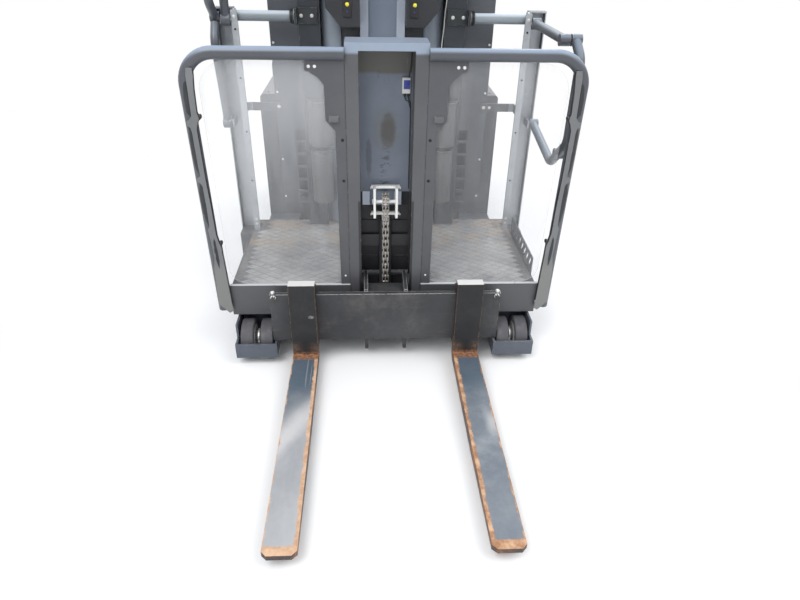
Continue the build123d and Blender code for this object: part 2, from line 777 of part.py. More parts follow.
# Outer mast: channels that open inwards, ties across the rear and a roller at each top
outer_y = (mast_front, mast_back)
tie_y = (mast_back, tie_back)
top_roller_z = outer_mast_z[1] - 45
roller_pin = 12
with BuildPart() as outer_mast:
    for side in SIDES:
        block(span(side, (mast_half - mast_web, mast_half)), outer_y, outer_mast_z)
        for flange in ((outer_y[0], outer_y[0] + mast_flange), (outer_y[1] - mast_flange, outer_y[1])):
            block(span(side, (outer_flange_x, mast_half - mast_web)), flange, outer_mast_z)
        roller_x = (inner_web_x[1] + travel_gap, inner_x[1] - 2)
        rod_x(span(side, roller_x), cab_roller_y, top_roller_z, cab_roller_radius)
        rod_x(span(side, (roller_x[1], mast_half - mast_web)), cab_roller_y, top_roller_z, roller_pin)
        saddle_x = (cylinder_x - cylinder_radius - 8, cylinder_x + cylinder_radius + 8)
        block(span(side, saddle_x), (tie_y[1], cylinder_y), (2600, 2660))
        rod_z(side * cylinder_x, cylinder_y, (2590, 2670), cylinder_radius + seat_gap, Mode.SUBTRACT)
        foot_y = (tie_y[0], cylinder_y + cylinder_radius)
        block(span(side, saddle_x), foot_y, (outer_mast_z[0], cylinder_foot))
    for band in ((outer_mast_z[0], 260), (1500, 1600), (2600, 2760)):
        block((-mast_half, mast_half), tie_y, band)
save(outer_mast, "outer_mast")

with BuildPart() as lift_cylinders:
    for side in SIDES:
        rod_z(side * cylinder_x, cylinder_y, (cylinder_foot, cylinder_top), cylinder_radius)
        bore_z = (cylinder_foot + 20, cylinder_top + 1)
        rod_z(side * cylinder_x, cylinder_y, bore_z, rod_radius + running_gap, Mode.SUBTRACT)
save(lift_cylinders, "lift_cylinders")

# Inner mast: beams that run inside the outer channels, ties across, and a head above
beam_y = (outer_y[0] + mast_flange + inner_gap, outer_y[1] - mast_flange - inner_gap)
inner_tie_y = (beam_y[1] - inner_flange, beam_y[1] + 5)
sheave_y = outer_y[1] - travel_gap - sheave_radius - chain_thickness
cheek_half = 22
cheek_sheet = 6
with BuildPart() as inner_mast:
    for side in SIDES:
        for flange in ((beam_y[0], beam_y[0] + inner_flange), (beam_y[1] - inner_flange, beam_y[1])):
            block(span(side, inner_x), flange, (inner_bottom, head_z[0]))
        block(span(side, inner_web_x), beam_y, (inner_bottom, head_z[0]))
        for edge in (sheave_x - sheave_width / 2 - 8, sheave_x + sheave_width / 2 + 2):
            cheek_y = (sheave_y - cheek_half, sheave_y + cheek_half)
            block(span(side, (edge, edge + cheek_sheet)), cheek_y, (sheave_height - 30, head_z[0]))
    for band in ((200, 300), (1400, 1480), (2560, 2640)):
        block((-inner_x[0] - 4, inner_x[0] + 4), inner_tie_y, band)
    block((-inner_x[1], inner_x[1]), (beam_y[0], cylinder_y + cylinder_radius), head_z)
save(inner_mast, "inner_mast")

with BuildPart() as lift_rods:
    for side in SIDES:
        rod_z(side * cylinder_x, cylinder_y, (cylinder_foot + 40, head_z[0]), rod_radius)
save(lift_rods, "lift_rods")

# Chains of the mast, each over a sheave below the head
with BuildPart() as mast_chains:
    for side in SIDES:
        sheave_span = span(side, (sheave_x - sheave_width / 2, sheave_x + sheave_width / 2))
        rod_x(sheave_span, sheave_y, sheave_height, sheave_radius)
        rim = sheave_radius + chain_thickness
        chain_span = span(side, (sheave_x - chain_width / 2, sheave_x + chain_width / 2))
        with BuildSketch(Plane.YZ.offset(min(chain_span))):
            with Locations((sheave_y, sheave_height)):
                Circle(rim)
        extrude(amount=chain_width)
        for strand, foot in ((-1, 700), (1, 1610)):
            strand_span = (sheave_y + strand * sheave_radius, sheave_y + strand * rim)
            block(chain_span, strand_span, (foot, sheave_height))
        axle = span(side, (sheave_x - sheave_width / 2 - 1.7, sheave_x + sheave_width / 2 + 1.7))
        rod_x(axle, sheave_y, sheave_height, 12)
save(mast_chains, "mast_chains")

# Load arms: hollow front ends that hold the wheels, and beams back to the body
pocket_x = (arm_x[0] + arm_wall, arm_x[1] - arm_wall)
pocket_y = (arm_front + arm_wall, arm_front + arm_wall + pocket_length)
with BuildPart() as load_arms:
    for side in SIDES:
        block(span(side, arm_x), (arm_front, body_front), arm_z)
        block(span(side, pocket_x), pocket_y, (arm_z[0] - 1, arm_z[1] + 1), Mode.SUBTRACT)
        low_y = (arm_front - 1, plate_back + travel_gap)
        block(span(side, arm_x), low_y, (pocket_front_top, arm_z[1] + 1), Mode.SUBTRACT)
        bore_x = span(side, (arm_x[0] - 1, arm_x[1] + 1))
        rod_x(bore_x, load_wheel_y, load_wheel_radius, load_axle_radius + running_gap, Mode.SUBTRACT)
save(load_arms, "load_arms")

axle_head = 6
axle_head_radius = load_axle_radius + 7
with BuildPart() as load_axles:
    for side in SIDES:
        rod_x(span(side, (arm_x[0] - 4, arm_x[1] + 2)), load_wheel_y, load_wheel_radius, load_axle_radius)
        for head in (
            (arm_x[1] + seat_gap, arm_x[1] + axle_head),
            (arm_x[0] - axle_head, arm_x[0] - seat_gap),
        ):
            rod_x(span(side, head), load_wheel_y, load_wheel_radius, axle_head_radius)
save(load_axles, "load_axles")

wheel_middle = (arm_x[0] + arm_x[1]) / 2
for name, side in (("load_wheels_left", -1), ("load_wheels_right", 1)):
    with BuildPart() as load_wheels:
        half = load_wheel_gap / 2
        for inner in (wheel_middle - half - load_wheel_width, wheel_middle + half):
            tread_x = span(side, (inner, inner + load_wheel_width))
            rod_x(tread_x, load_wheel_y, load_wheel_radius, load_wheel_radius)
        fillet(load_wheels.edges().filter_by(GeomType.CIRCLE), 6)
        spacer = (wheel_middle - half - 1, wheel_middle + half + 1)
        rod_x(span(side, spacer), load_wheel_y, load_wheel_radius, load_axle_radius + 12)
        bore_x = span(side, (wheel_middle - 100, wheel_middle + 100))
        bore_radius = load_axle_radius + running_gap
        rod_x(bore_x, load_wheel_y, load_wheel_radius, bore_radius, Mode.SUBTRACT)
    save(load_wheels, name)

# Chassis frame: mast feet, front wall, battery tray, sills, partition and the deck over the
# drive wheel, with lugs and pins for the lid and the hood
lid_axis = (body_front - 6, lid_z[1] - 4)
hood_front = drive_front + 14
hood_axis = (hood_front + 12, hood_z[1] - 24)
hinge_places = (-420, 420)
knuckle_half = 30
lug_width = 14
with BuildPart() as chassis_frame:
    for side in SIDES:
        block(span(side, (mast_half + seat_gap, arm_x[0] - seat_gap)), outer_y, (inner_bottom, arm_z[1]))
        block(span(side, arm_x), (body_front + seat_gap, body_front + 14), arm_z)
        sill_x = span(side, (chassis_half - sill_width, chassis_half))
        block(sill_x, (body_front + 1, drive_front), sill_z)
    inner_half = chassis_half - sill_width
    wall_y = (body_front + seat_gap, body_front + 14)
    block((-chassis_half, chassis_half), wall_y, (sill_z[0], lid_z[0] - travel_gap))
    block((-inner_half, inner_half), (body_front + 14, bay_back), (sill_z[0], battery_z[0]))
    block((-inner_half, inner_half), (bay_back, drive_front), (sill_z[0], cover_z[1]))
    with BuildSketch(Plane.XY.offset(deck_z[0])) as deck:
        deck_half = chassis_half - shell - 1
        deck_back = body_back - shell - 1
        with Locations((0, (drive_front + deck_back) / 2)):
            Rectangle(2 * deck_half, deck_back - drive_front)
        fillet(deck.vertices().group_by(Axis.Y)[-1], rear_corner - shell)
        with Locations((0, drive_wheel_y)):
            Circle(turntable_radius - 40 + travel_gap, mode=Mode.SUBTRACT)
    extrude(amount=deck_z[1] - deck_z[0])
    for middle in hinge_places:
        for edge in (middle - knuckle_half - pin_gap - lug_width, middle + knuckle_half + pin_gap):
            lug_x = (edge, edge + lug_width)
            lid_lug_y = (body_front - 14, body_front + 2)
            block(lug_x, lid_lug_y, (lid_z[0] - 40, lid_axis[1]))
            block(lug_x, (lid_lug_y[0], body_front + 14), (lid_z[0] - 45, lid_z[0] - travel_gap))
            rod_x(lug_x, *lid_axis, hinge_radius)
            hood_lug_y = (hood_front + travel_gap - 1, hood_axis[0] + hinge_radius)
            block(lug_x, hood_lug_y, (cover_z[1] - 60, hood_axis[1]))
            block(lug_x, (drive_front - 1, hood_lug_y[1]), (cover_z[1] - 60, cover_z[1]))
            rod_x(lug_x, *hood_axis, hinge_radius)
        pin_x = (middle - knuckle_half - pin_gap - 1, middle + knuckle_half + pin_gap + 1)
        rod_x(pin_x, *lid_axis, hinge_pin)
        rod_x(pin_x, *hood_axis, hinge_pin)
save(chassis_frame, "chassis_frame")

with BuildPart() as battery:
    block((-battery_x, battery_x), (body_front + 24, bay_back - 10), battery_z)
save(battery, "battery")

motor_top = 760
with BuildPart() as drive_motor:
    rod_z(0, drive_wheel_y, (deck_z[1] + seat_gap, deck_z[1] + 20), turntable_radius)
    rod_z(0, drive_wheel_y, (deck_z[1] + 20, motor_top), turntable_radius - 30)
save(drive_motor, "drive_motor")

with BuildPart() as side_covers:
    for side in SIDES:
        sheet_x = span(side, (chassis_half - cover_sheet, chassis_half))
        block(sheet_x, (body_front + 14 + seat_gap, drive_front - 2), cover_z)
save(side_covers, "side_covers")

# Rear cover: the rounded shell round the drive wheel
with BuildPart() as rear_cover:
    with BuildSketch(Plane.XY.offset(rear_cover_z[0])) as ring:
        with Locations((0, (drive_front + body_back) / 2)):
            Rectangle(2 * chassis_half, body_back - drive_front)
        fillet(ring.vertices().group_by(Axis.Y)[-1], rear_corner)
    extrude(amount=rear_cover_z[1] - rear_cover_z[0])
    with BuildSketch(Plane.XY.offset(rear_cover_z[0])) as core:
        with Locations((0, (drive_front + body_back - shell) / 2)):
            Rectangle(2 * (chassis_half - shell), body_back - shell - drive_front)
        fillet(core.vertices().group_by(Axis.Y)[-1], rear_corner - shell)
    extrude(amount=rear_cover_z[1] - rear_cover_z[0], mode=Mode.SUBTRACT)
save(rear_cover, "rear_cover")

# Hood over the drive unit, open in front, and the lid over the battery, each with knuckles
# round its pins
core_front = hood_front - 60
with BuildPart() as hood:
    with BuildSketch(Plane.XY.offset(hood_z[0])) as ring:
        with Locations((0, (hood_front + body_back - 4) / 2)):
            Rectangle(2 * (chassis_half - 4), body_back - 4 - hood_front)
        fillet(ring.vertices().group_by(Axis.Y)[-1], rear_corner)
    extrude(amount=hood_z[1] - hood_z[0])
    top = hood.faces().sort_by(Axis.Z)[-1]
    fillet(top.edges().sort_by(Axis.Y)[1:], 60)
    with BuildSketch(Plane.XY.offset(hood_z[0])) as core:
        with Locations((0, (core_front + body_back - 4 - shell) / 2)):
            Rectangle(2 * (chassis_half - 4 - shell), body_back - 4 - shell - core_front)
        fillet(core.vertices().group_by(Axis.Y)[-1], rear_corner - shell)
    extrude(amount=hood_z[1] - hood_z[0] - shell, taper=4, mode=Mode.SUBTRACT)
    for middle in hinge_places:
        knuckle_x = (middle - knuckle_half, middle + knuckle_half)
        rod_x(knuckle_x, *hood_axis, hinge_radius)
        knuckle_y = (hood_axis[0] - hinge_radius, hood_axis[0] + hinge_radius)
        block(knuckle_x, knuckle_y, (hood_axis[1], hood_z[1] - 2))
        rod_x((knuckle_x[0] - 1, knuckle_x[1] + 1), *hood_axis, hinge_pin + running_gap, Mode.SUBTRACT)
save(hood, "hood")

with BuildPart() as battery_lid:
    lid_y = (body_front + 4, drive_front + 4)
    block((-chassis_half + 2, chassis_half - 2), lid_y, lid_z)
    fillet(battery_lid.edges().filter_by(Axis.Y).group_by(Axis.Z)[-1], 20)
    inner_lid = (lid_y[0] + 5, lid_y[1] - 5)
    block((-chassis_half + 8, chassis_half - 8), inner_lid, (lid_z[0] - 1, lid_z[1] - 24), Mode.SUBTRACT)
    for middle in hinge_places:
        knuckle_x = (middle - knuckle_half, middle + knuckle_half)
        rod_x(knuckle_x, *lid_axis, hinge_radius)
        block(knuckle_x, (lid_axis[0], lid_y[0] + 1), (lid_axis[1] - hinge_radius, lid_z[1]))
        rod_x((knuckle_x[0] - 1, knuckle_x[1] + 1), *lid_axis, hinge_pin + running_gap, Mode.SUBTRACT)
save(battery_lid, "battery_lid")

# Drive wheel, and the turntable that steers it
leg_x = (drive_wheel_width / 2 + 6, drive_wheel_width / 2 + 66)
with BuildPart() as steer_head:
    table_z = (2 * drive_wheel_radius + 10, deck_z[0] - 5)
    rod_z(0, drive_wheel_y, table_z, turntable_radius)
    rod_z(0, drive_wheel_y, (table_z[1], deck_z[1]), turntable_radius - 40)
    block(leg_x, (drive_wheel_y - 60, drive_wheel_y + 60), (100, table_z[0] + 2))
    rod_x((-drive_wheel_width / 2 + 20, leg_x[0]), drive_wheel_y, drive_wheel_radius, drive_axle_radius)
save(steer_head, "steer_head")

tyre_inner = 125
with BuildPart() as drive_tyre:
    half = drive_wheel_width / 2
    rod_x((-half, half), drive_wheel_y, drive_wheel_radius, drive_wheel_radius)
    fillet(drive_tyre.edges().filter_by(GeomType.CIRCLE), 12)
    rod_x((-half - 1, half + 1), drive_wheel_y, drive_wheel_radius, tyre_inner, Mode.SUBTRACT)
save(drive_tyre, "drive_tyre")

with BuildPart() as drive_hub:
    rod_x((-half + 6, half - 6), drive_wheel_y, drive_wheel_radius, tyre_inner - running_gap)
    rod_x((-half, -half + 26), drive_wheel_y, drive_wheel_radius, tyre_inner - 25, Mode.SUBTRACT)
    bore_radius = drive_axle_radius + running_gap
    rod_x((-half + 20, half), drive_wheel_y, drive_wheel_radius, bore_radius, Mode.SUBTRACT)
save(drive_hub, "drive_hub")
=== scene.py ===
"""Order picker truck: finish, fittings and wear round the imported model.

The helpers take millimetres, with Y measured from the front face of the forks, and turn them into
metres in the frame of the model. +X is to the right of somebody who faces the forks, +Y runs from
the fork tips to the rear, +Z is up.
"""
import json
from functools import reduce
from itertools import product
from math import cos, pi, radians, sin, tau

import bmesh
import bpy
from mathutils import Matrix, Vector


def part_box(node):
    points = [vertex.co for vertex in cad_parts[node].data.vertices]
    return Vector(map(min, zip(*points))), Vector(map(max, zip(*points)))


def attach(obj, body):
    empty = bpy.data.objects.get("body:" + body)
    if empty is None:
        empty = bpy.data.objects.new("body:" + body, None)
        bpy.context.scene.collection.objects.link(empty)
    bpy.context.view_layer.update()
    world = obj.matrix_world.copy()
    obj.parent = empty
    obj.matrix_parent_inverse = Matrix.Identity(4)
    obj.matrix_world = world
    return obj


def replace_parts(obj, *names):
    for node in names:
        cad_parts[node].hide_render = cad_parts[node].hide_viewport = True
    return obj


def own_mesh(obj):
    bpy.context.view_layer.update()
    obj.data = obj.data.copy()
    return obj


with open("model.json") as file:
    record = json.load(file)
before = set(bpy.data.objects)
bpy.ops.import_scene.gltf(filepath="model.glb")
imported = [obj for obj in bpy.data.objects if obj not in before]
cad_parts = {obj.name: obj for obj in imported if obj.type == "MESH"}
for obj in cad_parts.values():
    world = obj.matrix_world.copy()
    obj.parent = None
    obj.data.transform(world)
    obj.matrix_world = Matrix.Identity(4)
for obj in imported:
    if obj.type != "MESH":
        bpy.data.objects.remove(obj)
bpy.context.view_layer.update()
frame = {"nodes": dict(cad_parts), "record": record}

SIDES = (-1, 1)
NAMED_SIDES = (("left", -1), ("right", 1))
TINE_LENGTH = 0.917
FORK_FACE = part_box("fork_left")[0][1] + TINE_LENGTH

# Camera, solved from the photograph: place in metres, angles in degrees, focal length in pixels
CAMERA_PLACE = (-0.067, FORK_FACE - 1.9878, 1.5345)
CAMERA_YAW = 3.416
CAMERA_PITCH = 31.577
CAMERA_ROLL = -1.233
FOCAL_PIXELS = 613.15
PHOTO_WIDTH = 800
SENSOR_WIDTH = 36


def make_camera():
    """Camera from its place, and its yaw, pitch below the horizon and roll."""
    yaw, pitch, roll = radians(CAMERA_YAW), radians(CAMERA_PITCH), radians(CAMERA_ROLL)
    forward = Vector((sin(yaw) * cos(pitch), cos(yaw) * cos(pitch), -sin(pitch)))
    level = Vector((cos(yaw), -sin(yaw), 0))
    down = forward.cross(level)
    right = level * cos(roll) + down * sin(roll)
    down = down * cos(roll) - level * sin(roll)
    turn = Matrix((right, -down, -forward)).transposed()
    data = bpy.data.cameras.new("camera")
    data.sensor_width = SENSOR_WIDTH
    data.lens = FOCAL_PIXELS * SENSOR_WIDTH / PHOTO_WIDTH
    data.clip_end = 100
    camera = bpy.data.objects.new("camera", data)
    camera.matrix_world = Matrix.Translation(CAMERA_PLACE) @ turn.to_4x4()
    bpy.context.scene.collection.objects.link(camera)
    bpy.context.scene.camera = camera


make_camera()


class Tree:
    """Short hand for building the node tree of a material or of the world."""

    def __init__(self, owner):
        owner.use_nodes = True
        self.tree = owner.node_tree
        self.tree.nodes.clear()

    def add(self, kind, sockets=(), **settings):
        """Node with its settings, and with the links or values of its sockets."""
        node = self.tree.nodes.new(kind)
        for key, value in settings.items():
            setattr(node, key, value)
        for key, value in dict(sockets).items():
            self.feed(node.inputs[key], value)
        return node

    def feed(self, socket, value):
        """Link a socket to another one, or set its value."""
        if isinstance(value, bpy.types.NodeSocket):
            self.tree.links.new(value, socket)
        elif isinstance(value, (tuple, list)) and socket.type == "RGBA" and len(value) == 3:
            socket.default_value = (*value, 1)
        else:
            socket.default_value = value

    def math(self, kind, first, second=0.0):
        """Result of one operation on one or two values."""
        return self.add("ShaderNodeMath", {0: first, 1: second}, operation=kind).outputs[0]

    def chain(self, kind, values):
        """Result of one operation on the first two values, then on that and the next one, and so on."""
        return reduce(lambda first, second: self.math(kind, first, second), values)

    def both(self, *masks):
        """Product of masks."""
        return self.chain("MULTIPLY", masks)

    def either(self, *masks):
        """Largest of masks."""
        return self.chain("MAXIMUM", masks)

    def total(self, *values):
        """Sum of values."""
        return self.chain("ADD", values)

    def less(self, first, second):
        """First value less the second."""
        return self.math("SUBTRACT", first, second)


class Nodes(Tree):
    """Node tree of one material, in metres with Y from the front face of the forks."""

    def __init__(self, name):
        self.material = bpy.data.materials.new(name)
        super().__init__(self.material)
        self.out = self.add("ShaderNodeOutputMaterial")
        texture = self.add("ShaderNodeTexCoord")
        self.coords = texture.outputs["Object"]
        self.x, self.y, self.z = self.parts(self.coords)
        self.y = self.less(self.y, FORK_FACE)
        self.width = self.math("ABSOLUTE", self.x)
        self.facing = self.parts(texture.outputs["Normal"])

    def parts(self, vector):
        """X, Y and Z of a vector."""
        return self.add("ShaderNodeSeparateXYZ", {0: vector}).outputs

    def stretched(self, stretch, shift=(0, 0, 0)):
        """The model's own coordinates, stretched and shifted."""
        sockets = {"Scale": stretch, "Location": shift, "Vector": self.coords}
        return self.add("ShaderNodeMapping", sockets).outputs["Vector"]

    def noise(self, scale, detail=4, roughness=0.6, stretch=(1, 1, 1), shift=(0, 0, 0)):
        """Noise between 0 and 1."""
        place = self.stretched(stretch, shift)
        sockets = {"Scale": scale, "Detail": detail, "Roughness": roughness, "Vector": place}
        return self.add("ShaderNodeTexNoise", sockets).outputs["Fac"]

    def cells(self, scale):
        """Tone of irregular cells, between 0 and 1."""
        sockets = {"Scale": scale, "Vector": self.stretched((1, 1, 1))}
        return self.parts(self.add("ShaderNodeTexVoronoi", sockets).outputs["Color"])[0]

    def step(self, value, low, high):
        """Smooth step of a value, 0 at low and 1 at high; low may be the larger one."""
        start, end = (1.0, 0.0) if low > high else (0.0, 1.0)
        sockets = {
            "Value": value, "From Min": min(low, high), "From Max": max(low, high),
            "To Min": start, "To Max": end,
        }
        return self.add("ShaderNodeMapRange", sockets, interpolation_type="SMOOTHSTEP").outputs["Result"]

    def band(self, value, low, high, soft=0.002):
        """Mask between two limits of a value."""
        rise = self.step(value, low - soft, low + soft)
        return self.both(rise, self.step(value, high + soft, high - soft))

    def spot(self, centre, radii, rough=0.35, scale=60):
        """Ragged round mask at an (X, Z) place in millimetres."""
        across = self.math("DIVIDE", self.less(self.x, centre[0] / 1000), radii[0] / 1000)
        up = self.math("DIVIDE", self.less(self.z, centre[1] / 1000), radii[1] / 1000)
        ragged = self.both(self.noise(scale, 4), rough * 2)
        away = self.total(self.both(across, across), self.both(up, up), ragged)
        return self.step(away, 1 + rough, 0.2 + rough)

    def lying(self, share):
        """1 where the surface lies flat, less by a share where it stands."""
        return self.total(self.both(self.step(self.facing[2], 0.3, 0.95), share), 1 - share)

    def mix(self, share, first, second):
        """Colour between first and second."""
        sockets = {"Factor": share, "A": first, "B": second}
        return self.add("ShaderNodeMix", sockets, data_type="RGBA").outputs["Result"]

    def over(self, base, color, *masks):
        """Base with a colour laid over it where all the masks are."""
        return self.mix(self.both(*masks), base, color)

    def rounded(self, radius):
        """Normal of a surface with its edges softly rounded."""
        return self.add("ShaderNodeBevel", {"Radius": radius}, samples=4).outputs["Normal"]

    def edges(self, radius=0.004, low=0.02, high=0.25):
        """Mask that is 1 along edges of the mesh and 0 on its flat faces."""
        flat = self.add("ShaderNodeNewGeometry").outputs["Normal"]
        sockets = {0: self.rounded(radius), 1: flat}
        dot = self.add("ShaderNodeVectorMath", sockets, operation="DOT_PRODUCT").outputs["Value"]
        return self.step(self.less(1.0, dot), low, high)

    def bump(self, height, strength, distance, rounding=0.0):
        """Bumped normal, over softly rounded edges where rounding is given."""
        sockets = {"Strength": strength, "Distance": distance, "Height": height}
        if rounding:
            sockets["Normal"] = self.rounded(rounding)
        return self.add("ShaderNodeBump", sockets).outputs["Normal"]

    def surface(self, color, roughness, normal, metallic=0.0, **more):
        """Principled surface; more sets further sockets, with _ for the spaces in their names."""
        sockets = {"Base Color": color, "Roughness": roughness, "Metallic": metallic, "Normal": normal}
        sockets |= {key.replace("_", " "): value for key, value in more.items()}
        shader = self.add("ShaderNodeBsdfPrincipled", sockets)
        self.feed(self.out.inputs["Surface"], shader.outputs["BSDF"])
        return self.material


BLACK = (0.0, 0.0, 0.0)
BARE = (0.42, 0.43, 0.45)
DUST = (0.34, 0.32, 0.29)
RUST_DARK = (0.11, 0.045, 0.022)
RUST_BRIGHT = (0.42, 0.19, 0.08)


def darker(color, share):
    return tuple(c * share for c in color)


def paint(name, color, roughness=0.4, wear=0.5, dust=0.3, rust=0.0, worn=BARE, zones=()):
    """Sprayed steel with dust, scuffed edges and, where asked, rust; zones give (mask, colour)."""
    n = Nodes(name)
    fine = n.noise(60, 3, 0.6)
    base = n.mix(n.step(n.noise(2.2, 5, 0.6), 0.35, 0.7), darker(color, 0.84), color)
    for mask, tone in zones:
        base = n.over(base, tone, mask(n))
    streaks = n.step(n.noise(26, 4, 0.7, stretch=(1, 1, 0.12)), 0.5, 0.8)
    base = n.over(base, DUST, streaks, 0.18 * dust)
    dusty = n.both(n.step(n.noise(7, 6, 0.7, shift=(3, 1, 2)), 0.4, 0.75), n.lying(0.75))
    base = n.over(base, DUST, dusty, dust)
    scuffs = n.step(n.noise(9, 9, 0.85, stretch=(1, 1, 0.4), shift=(9, 4, 1)), 0.66, 0.72)
    base = n.over(base, worn, scuffs, 0.5 * wear)
    base = n.over(base, worn, n.edges(), n.step(n.noise(45, 4, 0.7), 0.62 - 0.3 * wear, 0.72))
    if rust:
        spots = n.step(n.noise(14, 8, 0.75, shift=(5, 5, 5)), 0.74 - 0.3 * rust, 0.8)
        base = n.over(base, n.mix(fine, RUST_DARK, RUST_BRIGHT), spots)
    rough = n.total(n.both(fine, 0.16), roughness - 0.08, n.both(dusty, 0.3 * dust))
    return n.surface(base, rough, n.bump(fine, 0.1, 0.0006, rounding=0.0025))


def metal(name, color, roughness=0.35, stain=(0.25, 0.24, 0.22), stained=0.3, scale=30, metallic=0.85):
    """Bare or plated steel with cloudy stains and dust."""
    n = Nodes(name)
    cloud = n.noise(scale, 6, 0.7)
    base = n.over(color, stain, n.step(cloud, 0.4, 0.75), stained)
    base = n.over(base, DUST, n.step(n.noise(11, 6, 0.7, shift=(2, 7, 1)), 0.55, 0.8), 0.35)
    rough = n.total(n.both(cloud, 0.3), roughness - 0.12)
    normal = n.bump(n.noise(140, 3, 0.6), 0.1, 0.0005, rounding=0.0012)
    return n.surface(base, rough, normal, metallic)


def galvanised():
    """Zinc dipped posts: crystals of different tone, dull bloom, dark nicks, a painted highlight on faces
    turned to the front, painted shade on faces turned sideways, and painted straps.
    """
    n = Nodes("galvanised")
    flakes = n.cells(55)
    base = n.mix(flakes, (0.2, 0.225, 0.26), (0.33, 0.36, 0.4))
    bloom = n.step(n.noise(6, 6, 0.7, stretch=(1, 1, 0.3)), 0.45, 0.75)
    base = n.over(base, (0.5, 0.52, 0.55), bloom, 0.4)
    # Painted highlight on the faces turned to the front.
    base = n.over(base, (0.72, 0.74, 0.76), n.step(n.facing[1], -0.5, -0.9), 0.45)
    nicks = n.step(n.noise(70, 5, 0.8, shift=(1, 8, 3)), 0.68, 0.74)
    base = n.over(base, (0.16, 0.17, 0.18), nicks, 0.6)
    # The whole zinc a little darker, and painted shade on the faces turned sideways.
    shaded_sides = n.step(n.math("ABSOLUTE", n.facing[0]), 0.4, 0.8)
    base = n.over(n.over(base, BLACK, 0.2), BLACK, shaded_sides, 0.5)
    strap = n.both(n.step(n.width, 0.5655, 0.5635), n.band(n.z, 0.815, 0.862))
    base = n.over(base, n.mix(bloom, (0.085, 0.09, 0.1), (0.12, 0.125, 0.14)), strap)
    rough = n.total(n.both(flakes, 0.18), 0.34)
    normal = n.bump(n.noise(90, 4, 0.6), 0.12, 0.0006, rounding=0.002)
    return n.surface(base, rough, normal, n.both(n.less(1.0, strap), 0.45))


def plastic(name, color, roughness=0.5, dust=0.25, zones=()):
    """Moulded plastic with a fine grain, dusty where it lies flat."""
    n = Nodes(name)
    base = color
    for mask, tone in zones:
        base = n.over(base, tone, mask(n))
    cloud = n.step(n.noise(4, 5, 0.6), 0.4, 0.75)
    base = n.over(base, (0.4, 0.4, 0.4), cloud, n.lying(0.7), dust)
    rub = n.step(n.noise(12, 8, 0.8, stretch=(1, 1, 0.5)), 0.64, 0.72)
    base = n.over(base, (0.5, 0.5, 0.5), rub, 0.14)
    rough = n.total(n.both(cloud, 0.15), roughness - 0.05)
    return n.surface(base, rough, n.bump(n.noise(420, 2, 0.5), 0.15, 0.0004, rounding=0.003))


def rubber(name, color=(0.03, 0.03, 0.032), scuff=(0.1, 0.095, 0.09)):
    """Rubber or tread compound with ground-in dirt and small cuts."""
    n = Nodes(name)
    base = n.mix(n.step(n.noise(22, 6, 0.7), 0.45, 0.75), color, scuff)
    cuts = n.step(n.noise(120, 6, 0.8, shift=(4, 4, 4)), 0.66, 0.72)
    base = n.over(base, darker(color, 0.4), cuts, 0.5)
    return n.surface(base, 0.72, n.bump(n.noise(180, 4, 0.7), 0.3, 0.0008, rounding=0.002))


def pane():
    """Clear sheet under a veil of dust and wiped streaks, whiter at its edges and top left."""
    n = Nodes("clear_pane")
    streaks = n.step(n.noise(6, 6, 0.65, stretch=(1.6, 1, 0.35)), 0.35, 0.8)
    specks = n.step(n.noise(90, 3, 0.6), 0.6, 0.75)
    top_left = n.both(n.step(n.z, 0.7, 1.05), n.step(n.x, 0.2, -0.2))
    scratches = n.step(n.noise(150, 2, 0.5, stretch=(1, 1, 0.05), shift=(2, 2, 2)), 0.74, 0.77)
    edges = n.step(n.math("ABSOLUTE", n.facing[1]), 0.6, 0.3)
    shares = ((streaks, 0.06), (specks, 0.03), (top_left, 0.11), (scratches, 0.15), (edges, 0.25))
    veil = n.total(0.05, *(n.both(mask, share) for mask, share in shares))
    normal = n.bump(n.noise(3, 2, 0.5), 0.05, 0.002)
    return n.surface((0.9, 0.91, 0.93), 0.12, normal, Alpha=veil, Specular_IOR_Level=0.2)


